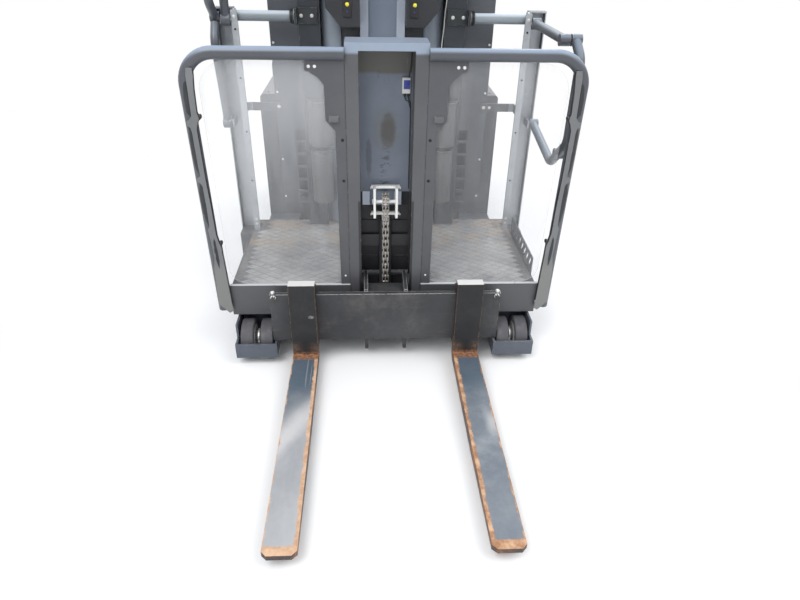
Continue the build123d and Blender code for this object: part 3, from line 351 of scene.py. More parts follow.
def fork_material():
    """Fork: black shank with rusty edges, worn blue-grey tine top, orange rust along its rim."""
    n = Nodes("fork_steel_forks")
    ragged = n.both(n.less(n.noise(20, 7, 0.8), 0.5), 0.034)
    coarse = n.noise(7, 7, 0.7)
    fine = n.noise(85, 4, 0.7)
    top = n.step(n.facing[2], 0.5, 0.9)
    tine = n.step(n.y, -0.0005, -0.002)
    left, right = n.step(n.x, 0.05, -0.05), n.step(n.x, -0.05, 0.05)
    inner = n.total(n.less(n.width, 0.270), ragged)
    outer = n.total(n.less(0.370, n.width), ragged)
    tip = n.total(n.y, TINE_LENGTH, ragged)
    rim = n.either(n.step(inner, 0.015, 0.009), n.step(outer, 0.005, 0.001), n.step(tip, 0.036, 0.028))
    heel = n.step(n.total(n.y, ragged), -0.04, -0.028)
    rust = n.mix(n.step(fine, 0.3, 0.7), RUST_DARK, RUST_BRIGHT)
    pale_rust = n.mix(n.step(n.noise(30, 5, 0.7), 0.35, 0.65), (0.36, 0.17, 0.08), (0.66, 0.42, 0.26))
    pale_rust = n.over(pale_rust, (0.85, 0.6, 0.42), left, 0.35)

    worn = n.mix(n.step(coarse, 0.35, 0.7), (0.17, 0.2, 0.235), (0.32, 0.34, 0.37))
    swept = n.noise(3.1, 5, 0.6, stretch=(1, 0.45, 1), shift=(0, 0.35, 0))
    along = n.total(n.y, n.both(n.less(n.width, 0.32), 1.6))
    rubbed = n.step(n.total(along, n.both(coarse, 0.2)), -0.14, -0.26)
    cloudy = n.total(n.both(n.step(swept, 0.3, 0.6), 0.5), 0.5)
    streak = n.band(n.total(along, n.both(n.noise(12), 0.06)), -0.44, -0.32, 0.05)
    patch = n.both(n.band(n.y, -0.46, -0.36, 0.04), n.step(n.width, 0.325, 0.355), right)
    worn = n.over(worn, (0.56, 0.565, 0.58), rubbed, left, cloudy, 0.9)
    worn = n.over(worn, (0.72, 0.71, 0.71), n.either(n.both(streak, left), n.both(patch, 0.6)), 0.8)
    worn = n.over(worn, (0.095, 0.14, 0.19), n.step(n.y, -0.34, -0.16), 0.8)
    # Painted shade on the right tine's top towards its tip.
    worn = n.over(worn, (0.17, 0.2, 0.24), n.step(n.y, -0.5, -0.75), right, 0.55)
    flecks = n.step(n.noise(60, 7, 0.85, shift=(6, 1, 1)), 0.63, 0.69)
    worn = n.over(worn, (0.6, 0.6, 0.6), flecks, 0.5)
    lines = n.step(n.noise(70, 2, 0.5, stretch=(1, 0.03, 1)), 0.68, 0.74)
    worn = n.over(worn, (0.62, 0.63, 0.65), lines, 0.3)
    tine_top = n.over(n.over(worn, pale_rust, rim), rust, heel, 0.9)
    flank = n.mix(n.step(coarse, 0.4, 0.65), (0.05, 0.04, 0.038), rust)

    black = n.mix(n.step(coarse, 0.35, 0.75), (0.008, 0.0085, 0.0095), (0.02, 0.02, 0.022))
    rub = n.step(n.noise(30, 6, 0.8, stretch=(0.3, 1, 1.2)), 0.63, 0.72)
    black = n.over(black, (0.2, 0.2, 0.2), rub, 0.3)
    side_rust = n.either(n.step(inner, 0.003, -0.002), n.step(outer, 0.003, -0.002))
    low = n.both(n.step(n.z, 0.13, 0.085), n.either(n.step(inner, 0.05, 0.01), n.step(outer, 0.05, 0.01)))
    dull = n.mix(n.step(fine, 0.35, 0.65), (0.035, 0.024, 0.02), (0.12, 0.072, 0.05))
    shank = n.over(black, dull, side_rust, n.step(coarse, 0.3, 0.6))
    shank = n.over(shank, dull, low)
    shank = n.over(shank, n.mix(0.45, dull, rust), n.step(n.z, 0.076, 0.066))
    scuff = n.both(n.spot((-290, 236), (13, 9), 0.3, 60), left, n.step(n.noise(60, 4, 0.7), 0.4, 0.5))
    shank = n.over(shank, (0.3, 0.3, 0.29), scuff, 0.7)
    shank_top = n.both(n.step(n.z, 0.371, 0.3745), top)
    shank = n.over(shank, (0.7, 0.7, 0.69), shank_top)

    base = n.mix(tine, shank, n.mix(top, flank, tine_top))
    base = n.over(base, pale_rust, n.edges(0.003), n.step(fine, 0.35, 0.6), 0.7)
    bare = n.both(n.either(n.both(tine, top), shank_top), n.less(1.0, n.either(rim, heel)))
    rough = n.less(n.total(n.both(fine, 0.2), 0.5), n.both(bare, 0.14))
    normal = n.bump(n.total(fine, n.both(rim, 0.4)), 0.22, 0.0008, rounding=0.003)
    return n.surface(base, rough, normal, n.both(bare, 0.35))


RAIL_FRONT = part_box("fork_carriage")[0][1] - FORK_FACE


def plate_material():
    """Fork plate: dull dark paint, its upper edge worn bright and notched dark."""
    n = Nodes("fork_steel_plate")
    fine = n.noise(80, 4, 0.7)
    base = n.mix(n.step(n.noise(3, 5, 0.6), 0.35, 0.7), (0.026, 0.027, 0.031), (0.05, 0.052, 0.056))
    brushed = n.step(n.noise(38, 5, 0.8, stretch=(0.15, 1, 1)), 0.6, 0.7)
    base = n.over(base, (0.3, 0.3, 0.3), brushed, 0.12)
    dusty = n.step(n.noise(6, 6, 0.7, shift=(1, 2, 9)), 0.5, 0.8)
    base = n.over(base, DUST, dusty, 0.16)
    top = n.both(n.step(n.z, 0.3125, 0.3138), n.step(n.facing[2], 0.5, 0.9))
    rail = n.both(top, n.step(n.y, RAIL_FRONT + 0.008, RAIL_FRONT + 0.006))
    broken = n.step(n.noise(34, 5, 0.8, stretch=(1, 0.3, 0.3)), 0.36, 0.46)
    base = n.over(base, (0.62, 0.62, 0.62), rail, broken)
    base = n.over(base, (0.6, 0.6, 0.6), n.edges(0.005, 0.02, 0.2), n.step(n.z, 0.306, 0.312), broken)
    base = n.over(base, BARE, n.edges(), n.step(fine, 0.5, 0.6), 0.6)
    rough = n.total(n.both(fine, 0.2), 0.38)
    return n.surface(base, rough, n.bump(fine, 0.14, 0.0006, rounding=0.0025))


def recess_material():
    """Panel in the auxiliary mast: blue-grey with oily smears and drips."""
    n = Nodes("panel_blue")
    base = n.mix(n.step(n.noise(3, 5, 0.6), 0.35, 0.7), (0.14, 0.162, 0.2), (0.175, 0.2, 0.25))
    head = n.step(n.total(n.z, n.both(n.noise(9), 0.03)), 1.098, 1.11)
    base = n.over(base, (0.12, 0.115, 0.105), head)
    oil = n.spot((9, 890), (34, 75), 0.4, 45)
    smear = n.spot((-2, 900), (60, 110), 0.5, 14)
    runs = n.step(n.noise(30, 5, 0.8, stretch=(1, 1, 0.35)), 0.56, 0.66)
    drips = n.both(runs, n.spot((-26, 1076), (46, 34), 0.5, 30))
    column = n.spot((0, 730), (26, 130), 0.3, 40)
    links = n.both(column, n.step(n.noise(95, 3, 0.6, stretch=(0.4, 1, 1)), 0.5, 0.6))
    base = n.over(base, (0.1, 0.1, 0.09), smear, 0.3)
    base = n.over(base, (0.055, 0.048, 0.035), oil, 0.75)
    base = n.over(base, (0.045, 0.05, 0.06), n.either(drips, links), 0.65)
    base = n.over(base, (0.05, 0.055, 0.075), n.spot((-62, 790), (14, 90), 0.5, 60), 0.5)
    scratches = n.step(n.noise(60, 3, 0.6, stretch=(1, 1, 0.06)), 0.68, 0.74)
    base = n.over(base, (0.3, 0.32, 0.35), scratches, 0.3)
    rough = n.less(0.48, n.both(n.either(oil, smear), 0.16))
    return n.surface(base, rough, n.bump(n.noise(70, 3, 0.6), 0.1, 0.0005))


def tread_material(name, low, high):
    """Floor covering with sandy dirt trodden into it, rubbed pale where boots stand."""
    n = Nodes(name)
    coarse = n.noise(3.4, 7, 0.7)
    base = n.mix(n.step(coarse, 0.35, 0.7), low, high)
    stood = n.both(n.band(n.width, 0.23, 0.5, 0.1), n.band(n.y, 0.26, 0.55, 0.1))
    base = n.over(base, (0.3, 0.3, 0.3), stood, n.step(coarse, 0.3, 0.6), 0.4)
    sand = n.both(n.step(n.noise(9, 8, 0.75, shift=(3, 3, 1)), 0.45, 0.62), n.step(n.y, 0.3, 0.6))
    base = n.over(base, (0.34, 0.27, 0.19), sand, 0.7)
    base = n.over(base, (0.42, 0.38, 0.32), n.step(n.noise(150, 4, 0.8), 0.62, 0.7), 0.45)
    return n.surface(base, 0.68, n.bump(n.noise(70, 5, 0.75), 0.3, 0.001))


def lens(name, color):
    """Coloured moulded lens."""
    n = Nodes(name)
    tone = n.mix(n.step(n.noise(40, 3), 0.4, 0.7), color, darker(color, 0.8))
    return n.surface(tone, 0.18, n.bump(n.noise(300, 2, 0.5), 0.2, 0.0005), Coat_Weight=0.6)


def painted_sky_highlight(n):
    """Painted highlight: upper sides made lighter and bluer, as if lit by the sky."""
    return n.both(n.step(n.facing[2], 0.3, 0.85), 0.7)


def head_bar_highlight(n):
    """Painted highlight on the top of the bar that joins the posts of the auxiliary mast."""
    shelf = n.both(n.step(n.z, 1.15, 1.16), n.step(n.facing[2], 0.5, 0.9))
    return n.either(n.step(n.z, 1.166, 1.178), shelf)


def mast_inside_shade(n):
    """Inside of the auxiliary mast below its panel, painted near black as the shade in the recess."""
    return n.both(n.step(n.z, 0.665, 0.655), n.step(n.width, 0.104, 0.1025))


def bracket_side(n):
    """Brackets beside the auxiliary mast."""
    return n.step(n.width, 0.45, 0.44)


def sheet_foot(n):
    """Bleached feet of the guard's sheets."""
    return n.both(n.step(n.z, 0.43, 0.38), n.step(n.width, 0.44, 0.45))


def angle_black(n):
    """Angle plates of the cross tubes, on the columns."""
    return n.step(n.width, 0.352, 0.3505)


def bright_lip(n):
    """Top of the lip along the front of the platform."""
    broken = n.step(n.noise(30, 5, 0.8), 0.3, 0.42)
    return n.both(n.step(n.z, 0.3088, 0.3097), n.step(n.y, 0.137, 0.134), broken)


def tubs(n):
    """Round tubs on the outer panels of the rear wall."""
    return n.step(n.width, 0.3425, 0.3395)


def raised_strips(n):
    """Raised strips of the inner panels."""
    return n.band(n.width, 0.058, 0.093, 0.001)


def recess(n):
    """Recess between the raised strips."""
    return n.step(n.width, 0.0585, 0.0575)


MATERIALS = {
    "chassis_grey": paint("chassis_grey", (0.06, 0.066, 0.076), wear=0.5, rust=0.1),
    "load_arm": paint("chassis_grey_arms", (0.085, 0.1, 0.13), wear=0.75, rust=0.08, dust=0.35),
    "cover_grey": paint("cover_grey", (0.1, 0.106, 0.116), wear=0.3, roughness=0.36),
    "mast_grey": paint("mast_grey", (0.06, 0.064, 0.072), wear=0.5, dust=0.2),
    "rod_chrome": metal("rod_chrome", (0.62, 0.63, 0.65), 0.18, stained=0.1),
    "battery_steel": paint("battery_steel", (0.05, 0.05, 0.055)),
    "cab_grey": paint("cab_grey", (0.088, 0.094, 0.106), dust=0.15, roughness=0.36),
    # The guard, the gates and the cross tubes carry a painted sky highlight on their upper sides.
    "guard": paint(
        "cab_grey_guard", (0.08, 0.087, 0.1), 0.33, dust=0.1, zones=((painted_sky_highlight, (0.33, 0.42, 0.56)),),
    ),
    "sheet": paint(
        "cab_grey_sheet", (0.165, 0.17, 0.175), 0.45, wear=0.5, dust=0.2,
        zones=((bracket_side, (0.074, 0.075, 0.084)), (sheet_foot, (0.185, 0.185, 0.18))),
    ),
    # Near-black paint of the shaft sheet, standing for the shade inside the auxiliary mast.
    "shaft": paint(
        "cab_grey_shaft", (0.016, 0.017, 0.02), 0.45, wear=0.9, dust=0.12, worn=(0.12, 0.125, 0.135),
    ),
    # Near-black finish that paints the shade in the guard's slots.
    "slot_shade": paint("cab_grey_slot_shade", (0.02, 0.022, 0.026), 0.5, wear=0.2, dust=0.2),
    "floor_pan": paint(
        "cab_grey_pan", (0.085, 0.087, 0.093), 0.4, dust=0.12, zones=((bright_lip, (0.55, 0.56, 0.58)),),
    ),
    # Auxiliary mast: a painted highlight on the top of its head bar.
    "aux_mast": paint(
        "cab_grey_aux", (0.088, 0.089, 0.097), 0.36, wear=0.3, dust=0.12,
        # The inside of the mast below its panel is painted near black as shade.
        zones=((head_bar_highlight, (0.26, 0.31, 0.39)), (mast_inside_shade, (0.02, 0.02, 0.023))),
    ),
    "gate": paint(
        "cab_grey_gate", (0.085, 0.093, 0.108), 0.32, wear=0.4, dust=0.1,
        zones=((painted_sky_highlight, (0.22, 0.27, 0.34)),),
    ),
    "cross": paint(
        "cab_grey_cross", (0.24, 0.275, 0.305), 0.34, dust=0.1,
        zones=((painted_sky_highlight, (0.62, 0.7, 0.78)), (angle_black, (0.02, 0.024, 0.028))),
    ),
    "column": paint("cab_grey_columns", (0.026, 0.031, 0.039), 0.4, wear=0.35, dust=0.1),
    "tread_steel": tread_material("tread_steel", (0.11, 0.11, 0.115), (0.2, 0.195, 0.19)),
    "tile": tread_material("tread_tile", (0.2, 0.202, 0.21), (0.44, 0.435, 0.43)),
    "rear_panel": plastic("panel_grey_outer", (0.075, 0.082, 0.094), zones=((tubs, (0.062, 0.063, 0.064)),)),
    "inner_panel": plastic(
        "panel_grey_inner", (0.25, 0.285, 0.335),
        zones=((recess, (0.2, 0.24, 0.305)), (raised_strips, (0.4, 0.44, 0.52))),
    ),
    "console_black": plastic("console_black", (0.022, 0.024, 0.028), dust=0.1),
    "clear_pane": pane(),
    "galvanised": galvanised(),
    "panel_blue": recess_material(),
    "aux_cylinder": paint("panel_blue_cylinder", (0.05, 0.052, 0.056), 0.36),
    "zinc": metal("zinc", (0.72, 0.72, 0.7), 0.3, stain=(0.5, 0.48, 0.42), metallic=0.6),
    "white_zinc": metal(
        "zinc_crosshead", (0.8, 0.8, 0.78), 0.36, stain=(0.55, 0.53, 0.48), stained=0.2, metallic=0.25,
    ),
    "chain_steel": metal(
        "chain_steel", (0.42, 0.39, 0.36), 0.4, stain=(0.1, 0.09, 0.08), stained=0.6, scale=60,
    ),
    "fork": fork_material(),
    "plate": plate_material(),
    "wheel_rubber": rubber("wheel_rubber"),
    "load_wheel": rubber("wheel_compound", (0.085, 0.085, 0.095), (0.15, 0.145, 0.15)),
    "hub_iron": metal("hub_iron", (0.2, 0.2, 0.2), 0.6),
    "black_trim": plastic("black_trim", (0.018, 0.018, 0.02), 0.42, dust=0.1),
    "hose": rubber("hose_black", (0.02, 0.02, 0.021), (0.05, 0.05, 0.05)),
    "yellow": plastic("yellow_cap", (0.85, 0.72, 0.06), 0.35, dust=0.08),
    "violet": plastic("violet_cap", (0.045, 0.03, 0.16), 0.35, dust=0.05),
    "blue_case": plastic("blue_case", (0.03, 0.045, 0.3), 0.3, dust=0.1),
    "white_case": plastic("white_case", (0.68, 0.68, 0.64), 0.45, dust=0.25),
    "red": plastic("red_cap", (0.5, 0.02, 0.015), 0.3, dust=0.06),
    "screen": lens("screen_glass", (0.02, 0.03, 0.035)),
    "clear_lens": lens("clear_lens", (0.75, 0.76, 0.78)),
    "red_lens": lens("red_lens", (0.4, 0.015, 0.012)),
    "amber_lens": lens("amber_lens", (0.75, 0.28, 0.02)),
    "hole": plastic("dark_hole", (0.008, 0.008, 0.009), 0.8, dust=0.0),
}
# Finish of each part that doesn't wear the common one of its slot
NODE_MATERIALS = {
    "load_arms": "load_arm", "guard_tube": "guard", "cab_floor": "floor_pan", "aux_mast": "aux_mast",
    "cross_tubes": "cross", "rear_frame": "column", "rear_panels": "rear_panel",
    "inner_panels": "inner_panel", "crosshead": "white_zinc", "fork_carriage": "plate",
    "fork_left": "fork", "fork_right": "fork", "aux_cylinder": "aux_cylinder",
    "load_wheels_left": "load_wheel", "load_wheels_right": "load_wheel",
    **{f"gate_{side}_{bar}": "gate" for side, _ in NAMED_SIDES for bar in ("upper", "lower", "link")},
}
for entry in frame["record"]["subparts"]:
    finish = NODE_MATERIALS.get(entry["node"], entry["material_slot"])
    for slot in frame["nodes"][entry["node"]].material_slots:
        slot.material = MATERIALS[finish]


def at(point):
    """Point of the model in metres from millimetres, with Y from the front face of the forks."""
    return Vector((point[0] / 1000, FORK_FACE + point[1] / 1000, point[2] / 1000))


def frame_of(along):
    """Two directions square to a third one."""
    along = Vector(along).normalized()
    across = along.orthogonal().normalized()
    return across, along.cross(across)


def around(middle, half):
    """Limits on both sides of a middle."""
    return middle - half, middle + half


SMOOTH_ANGLE = radians(38)


class Shape:
    """Mesh of one piece in the making, in millimetres with Y from the front face of the forks."""

    def __init__(self):
        self.mesh = bmesh.new()

    def corners(self, points):
        return [self.mesh.verts.new(at(p)) for p in points]

    def ring(self, middle, across, up, radius, sides, turn=0.0):
        """Corners of a circle."""
        angles = [turn + tau * i / sides for i in range(sides)]
        return self.corners([middle + (across * cos(a) + up * sin(a)) * radius for a in angles])

    def skin(self, rings, first, last):
        """Faces between rings of corners, and the end faces first and last."""
        for low, high in zip(rings, rings[1:]):
            for i in range(len(low)):
                self.mesh.faces.new((low[i - 1], low[i], high[i], high[i - 1]))
        self.mesh.faces.new(first)
        self.mesh.faces.new(last)

    def block(self, x, y, z):
        """Box between limits; the bevel of done() rounds it."""
        made = self.corners([(a, b, c) for c in z for b in y for a in x])
        for face in ((0, 2, 3, 1), (4, 5, 7, 6), (0, 1, 5, 4), (2, 6, 7, 3), (0, 4, 6, 2), (1, 3, 7, 5)):
            self.mesh.faces.new([made[i] for i in face])

    def prism(self, outline, axis, low, high):
        """Flat outline drawn out along an axis; the outline's two values are the other two axes."""
        slot = "xyz".index(axis)
        rings = []
        for level in (low, high):
            rings.append(self.corners([(*pair[:slot], level, *pair[slot:]) for pair in outline]))
        self.skin(rings, rings[0], rings[1][::-1])

    def turned(self, start, along, profile, sides=24, turn=0.0):
        """Turned shape: profile gives (distance along the axis, radius) from end to end."""
        start, along = Vector(start), Vector(along).normalized()
        across, up = frame_of(along)
        rings = []
        for distance, radius in profile:
            rings.append(self.ring(start + along * distance, across, up, radius, sides, turn))
        self.skin(rings, rings[0][::-1], rings[-1])

    def bolt(self, place, along, size):
        """Hexagon bolt with its washer; size is the radius of the head."""
        head = size * 0.8
        washer = size * 0.25
        self.turned(place, along, [(0, size * 1.45), (washer, size * 1.45)], 24)
        self.turned(place, along, [(washer, size), (head * 0.9, size), (head * 1.1, size * 0.86)], 6, 0.3)

    def screw(self, place, along, radius):
        """Low domed screw."""
        profile = ((0, 1), (0.25, 1), (0.5, 0.75), (0.6, 0.3))
        self.turned(place, along, [(distance * radius, share * radius) for distance, share in profile], 16)

    def pipe(self, points, radius, sides=10, steps=6):
        """Hose or wire along a smooth line through points."""
        points = [Vector(p) for p in points]
        padded = [points[0] * 2 - points[1], *points, points[-1] * 2 - points[-2]]
        line = []
        for a, b, c, d in zip(padded, padded[1:], padded[2:], padded[3:]):
            for i in range(steps):
                t = i / steps
                bend = (2 * a - 5 * b + 4 * c - d) * t * t + (3 * b - a - 3 * c + d) * t ** 3
                line.append((2 * b + (c - a) * t + bend) / 2)
        line.append(points[-1])
        across, _ = frame_of(line[1] - line[0])
        rings = []
        for i, middle in enumerate(line):
            along = (line[min(i + 1, len(line) - 1)] - line[max(i - 1, 0)]).normalized()
            across = (across - along * across.dot(along)).normalized()
            rings.append(self.ring(middle, across, along.cross(across), radius, sides))
        self.skin(rings, rings[0][::-1], rings[-1])

    def done(self, name, body, slot, material, bevel=0.8, segments=2):
        """Turn the mesh into a piece that rides on a body; bevel rounds its edges, in millimetres."""
        bmesh.ops.recalc_face_normals(self.mesh, faces=self.mesh.faces)
        data = bpy.data.meshes.new(name)
        self.mesh.to_mesh(data)
        self.mesh.free()
        data.shade_smooth()
        data.set_sharp_from_angle(angle=SMOOTH_ANGLE)
        data.materials.append(MATERIALS[material])
        piece = bpy.data.objects.new(name, data)
        bpy.context.scene.collection.objects.link(piece)
        if bevel:
            rounding = piece.modifiers.new("rounding", "BEVEL")
            rounding.width = bevel / 1000
            rounding.segments = segments
            rounding.limit_method = "ANGLE"
            rounding.angle_limit = SMOOTH_ANGLE
        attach(piece, body)
        return piece


FRONT, BACK, UP, DOWN = (0, -1, 0), (0, 1, 0), (0, 0, 1), (0, 0, -1)


def outward(side):
    return (side, 0, 0)


# Places of the model that several pieces refer to, in millimetres
GUARD_Y = 125
BRACKET_FRONT, BRACKET_BACK = 127, 131
SHEET_FRONT, SHEET_BACK = 100.5, 103.6
AUX_MAST_HALF = 139
AUX_PANEL_FRONT = 235.3
FLOOR_TOP = 298
POST_X, POST_FRONT = 583, 660
CROSS_TUBE_Z = 1212
CONSOLE_FRONT, CONSOLE_MIDDLE, CONSOLE_TOP = 649, 697, 1412
ROOF_LAMP_X = 360
LOAD_WHEEL_X, LOAD_AXLE_Y, LOAD_AXLE_Z = 516.5, 110, 75
CYLINDER_X, CYLINDER_Y = 330, 1110
PIPE_X = 268
COLUMN_BACK = 860
TIE_BACK = 1070
HOOD_BACK = 2239
REAR_LAMP_X = 330
LID_TOP = 799.8
SIDE_COVER_X = 600


def front_guard():
    """Bolts, plugged holes and folded tabs of the brackets beside the auxiliary mast."""
    bolts = Shape()
    for side in SIDES:
        for x in (237, 257):
            bolts.screw((side * x, BRACKET_FRONT, 1131), FRONT, 5.5)
        bolts.screw((side * 157, BRACKET_FRONT, 348), FRONT, 4)
    bolts.done("guard_bolts", "cab", "zinc", "white_zinc", 0.4)
    holes = Shape()
    for side, z in product(SIDES, (887, 738.5)):
        holes.turned((side * 153, BRACKET_FRONT + 0.2, z), FRONT, [(0, 5.5), (0.8, 5.5), (1.0, 4.6)], 20)
    holes.done("guard_holes", "cab", "console_black", "hole", 0)
    tabs = Shape()
    for side in SIDES:
        profile = [(126.8, 972), (124.5, 970), (117, 951), (119, 950), (125.5, 964), (126.8, 965)]
        tabs.prism(profile, "x", *around(side * 181, 17))
    tabs.done("guard_tabs", "cab", "cab_grey", "sheet", 0.5)


GUARD_RADIUS = 21
# Height and distance from the middle of the truck at the foot and the top of the upright tube
GUARD_FOOT = (205, 645)
GUARD_TOP = (1171, 663)
# Bracket beside the auxiliary mast, as (distance from the mast's outer face, height)
BRACKET = (
    (0.3, 311), (36, 311), (38, 919), (70, 955), (70, 1072), (89, 1095), (116, 1114), (132, 1118),
    (132, 1149.7), (0.3, 1149.7),
)
# Sheet of the guard: edge towards the pane as (offset from the tube's centre line, height), going up
SHEET_INNER = (
    (-41, 205), (-38, 240), (-36.5, 300), (-35, 364), (-33, 447), (-33, 486), (-27, 505), (-21.5, 540),
    (-21, 642), (-18.5, 751), (-18.5, 853), (-18.5, 930), (-25, 952), (-32, 966), (-27, 985), (-30, 1058),
    (-35, 1105), (-36, 1128),
)
# Edge towards the outside, going down; the webs reach over the tube between the slots
SHEET_OUTER = (
    (-16, 1128), (-12, 1105), (-10, 1040), (-8, 975), (2, 962), (11, 957), (11, 942), (2, 936), (-1, 920),
    (-1, 800), (-2, 766), (10, 757), (12, 744), (0, 738), (-4, 726), (-5, 650), (-3, 572), (4, 560),
    (2, 530), (-1, 440), (7, 396), (10, 300), (12, 236), (-24, 196),
)
# Slots beside the tube, filled with painted shade: (height, offset of the edge in, offset of the edge out),
# going up
SLOTS = (
    ((962, -9, -6), (985, -10, 6), (1030, -11, 7), (1070, -12, 2), (1112, -14, -10)),
    ((768, -3, -1), (790, -2, 9), (840, -1, 14), (900, -1, 12), (934, 0, 8)),
    ((568, -5, -2), (590, -5, 5), (631, -6, 12), (700, -5, 14), (734, -4, 6)),
)
# Slot in the foot, on the sheet itself, filled with painted shade
FOOT_SLOT = (
    (-13, 396), (-18, 430), (-17.5, 470), (-15, 512), (-12, 524), (-7.5, 510), (-5.5, 470), (-7, 430),
)
# Holder of a pane, as (X, Z) round its middle
HOLDER = ((-6, -5), (-6, 5), (-2, 8), (5, 7), (5, -8), (-2, -8))


def guard_line(height):
    """Distance of the upright tube's centre line from the middle of the truck."""
    (foot, foot_x), (top, top_x) = GUARD_FOOT, GUARD_TOP
    return foot_x + (height - foot) / (top - foot) * (top_x - foot_x)


def beside_tube(side, points, shift=0):
    """Outline in (X, Z) from (offset from the upright tube's centre line, height) points."""
    return [(side * (guard_line(z) + x + shift), z) for x, z in points]


def guard_sheets():
    """Sheets in front of the guard's tubes with their slots, stepped brackets, and pane holders; near-black
    pieces paint the shade in the slots and along the sheet's inner edge.
    """
    sheets = Shape()
    for side in SIDES:
        sheets.prism(beside_tube(side, SHEET_INNER + SHEET_OUTER), "y", SHEET_FRONT, SHEET_BACK)
        bracket = [(side * (AUX_MAST_HALF + x), z) for x, z in BRACKET]
        sheets.prism(bracket, "y", BRACKET_FRONT, BRACKET_BACK)
    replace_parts(sheets.done("guard_sheets", "cab", "cab_grey", "sheet"), "side_uprights")

    # Painted shade: near-black inlays in the slots beside the tube and in the foot's slot, and a strip along
    # the sheet's folded inner edge, darkened as the shadow line there.
    dark = Shape()
    for side in SIDES:
        for slot in SLOTS:
            rings = []
            for z, low, high in slot:
                turns = [(low + (high - low) * share) / GUARD_RADIUS for share in (0, 0.33, 0.67, 1)]
                ring = []
                for radius, order in ((GUARD_RADIUS + 0.7, turns), (GUARD_RADIUS - 0.5, turns[::-1])):
                    for turn in order:
                        x = guard_line(z) + radius * sin(turn)
                        ring.append((side * x, GUARD_Y - radius * cos(turn), z))
                rings.append(dark.corners(ring))
            dark.skin(rings, rings[0], rings[-1][::-1])
        dark.prism(beside_tube(side, FOOT_SLOT), "y", SHEET_FRONT - 0.7, SHEET_FRONT + 0.5)
        edge = SHEET_INNER[1:]
        seam = beside_tube(side, edge) + beside_tube(side, edge[::-1], 4)
        dark.prism(seam, "y", SHEET_BACK - 0.2, 119)
    dark.done("guard_slot_shade", "cab", "console_black", "slot_shade", 0)

    holders = Shape()
    for side, level in product(SIDES, (967, 495)):
        middle = guard_line(level) - 29
        holders.prism([(side * (middle + x), level + z) for x, z in HOLDER], "y", SHEET_BACK - 0.1, 132.5)
    holders.done("pane_holders", "cab", "console_black", "black_trim", 1.5)


def shaft_sheet():
    """Near-black sheet that closes the auxiliary mast behind the chain as painted shade in the shaft, its
    ribs folded forward.
    """
    sheet = Shape()
    sheet.block((-98, 98), (236.5, 239.5), (313, 600))
    for z, side in product((380, 458, 538), SIDES):
        rib = [(236.6, z - 3), (231, z - 1), (231, z + 1.5), (236.6, z + 3)]
        sheet.prism(rib, "x", *around(side * 63, 32))
    sheet.done("shaft_sheet", "cab", "cab_grey", "shaft", 0.5)


def service_box():
    """Small electric box with its wires, on the panel of the auxiliary mast."""
    case = Shape()
    case.block((57, 86), (222.4, AUX_PANEL_FRONT), (1024, 1078))
    case.done("service_box_case", "cab", "panel_blue", "white_case", 2)
    lid = Shape()
    lid.block((62, 84), (220.6, 223), (1040, 1070))
    lid.turned((73, 221.2, 1056), FRONT, [(0, 6), (0.8, 6), (1.2, 5)], 20)
    lid.done("service_box_lid", "cab", "panel_blue", "blue_case", 1)
    plugs = Shape()
    for x in (66, 79):
        plugs.turned((x, 228, 1025), DOWN, [(0, 5), (8, 5), (9, 3.5), (14, 3)], 16)
    plugs.done("service_box_plugs", "cab", "console_black", "black_trim", 0.5)
    wires = Shape()
    wires.pipe([(80, 227, 1076), (82, 225, 1095), (87, 226, 1120), (88, 228, 1172)], 2)
    wires.pipe([(79, 228, 1014), (82, 227, 1000), (87, 229, 985), (88, 229, 900), (88, 229, 670)], 2)
    wires.pipe([(66, 228, 1014), (70, 225, 1002), (80, 227, 996), (86, 225, 975)], 1.6)
    wires.done("service_box_wires", "cab", "console_black", "hose", 0)


CHAIN_PITCH = 25.4
CHAIN_TOP = 632.5
CHAIN_FOOT = 301
CHAIN_TURN_LINKS = 4
SHEAVE_Y = 191
SHEAVE_RADIUS = 29.3
# Sides of the plates of one link, across the chain
OUTER_PLATES = ((-12.6, -10.4), (-2.2, 2.2), (10.4, 12.6))
INNER_PLATES = ((-9.8, -7.6), (-7.2, -5.0), (5.0, 7.2), (7.6, 9.8))
PLATE_RADIUS, PLATE_WAIST = 8.2, 5.6


def link_outline(start, end):
    """Outline of one chain plate between two pins, as (Y, Z) pairs."""
    start, end = Vector(start), Vector(end)
    along = (end - start).normalized()
    across = Vector((-along.y, along.x))
    points = []
    for centre, way in ((start, -1), (end, 1)):
        for i in range(7):
            angle = radians(-75 + 25 * i)
            points.append(centre + (along * cos(angle) + across * sin(angle)) * way * PLATE_RADIUS)
        points.append((start + end) / 2 + across * PLATE_WAIST * way)
    return [tuple(p) for p in points]


def add_link(shape, start, end, odd):
    """Plates and pin of one chain link; odd links sit between the plates of even ones."""
    for x in (INNER_PLATES if odd else OUTER_PLATES):
        shape.prism(link_outline(start, end), "x", *x)
    shape.turned((-13, *start), outward(1), [(0, 3.6), (0.8, 4.2), (25.2, 4.2), (26, 3.6)], 14)


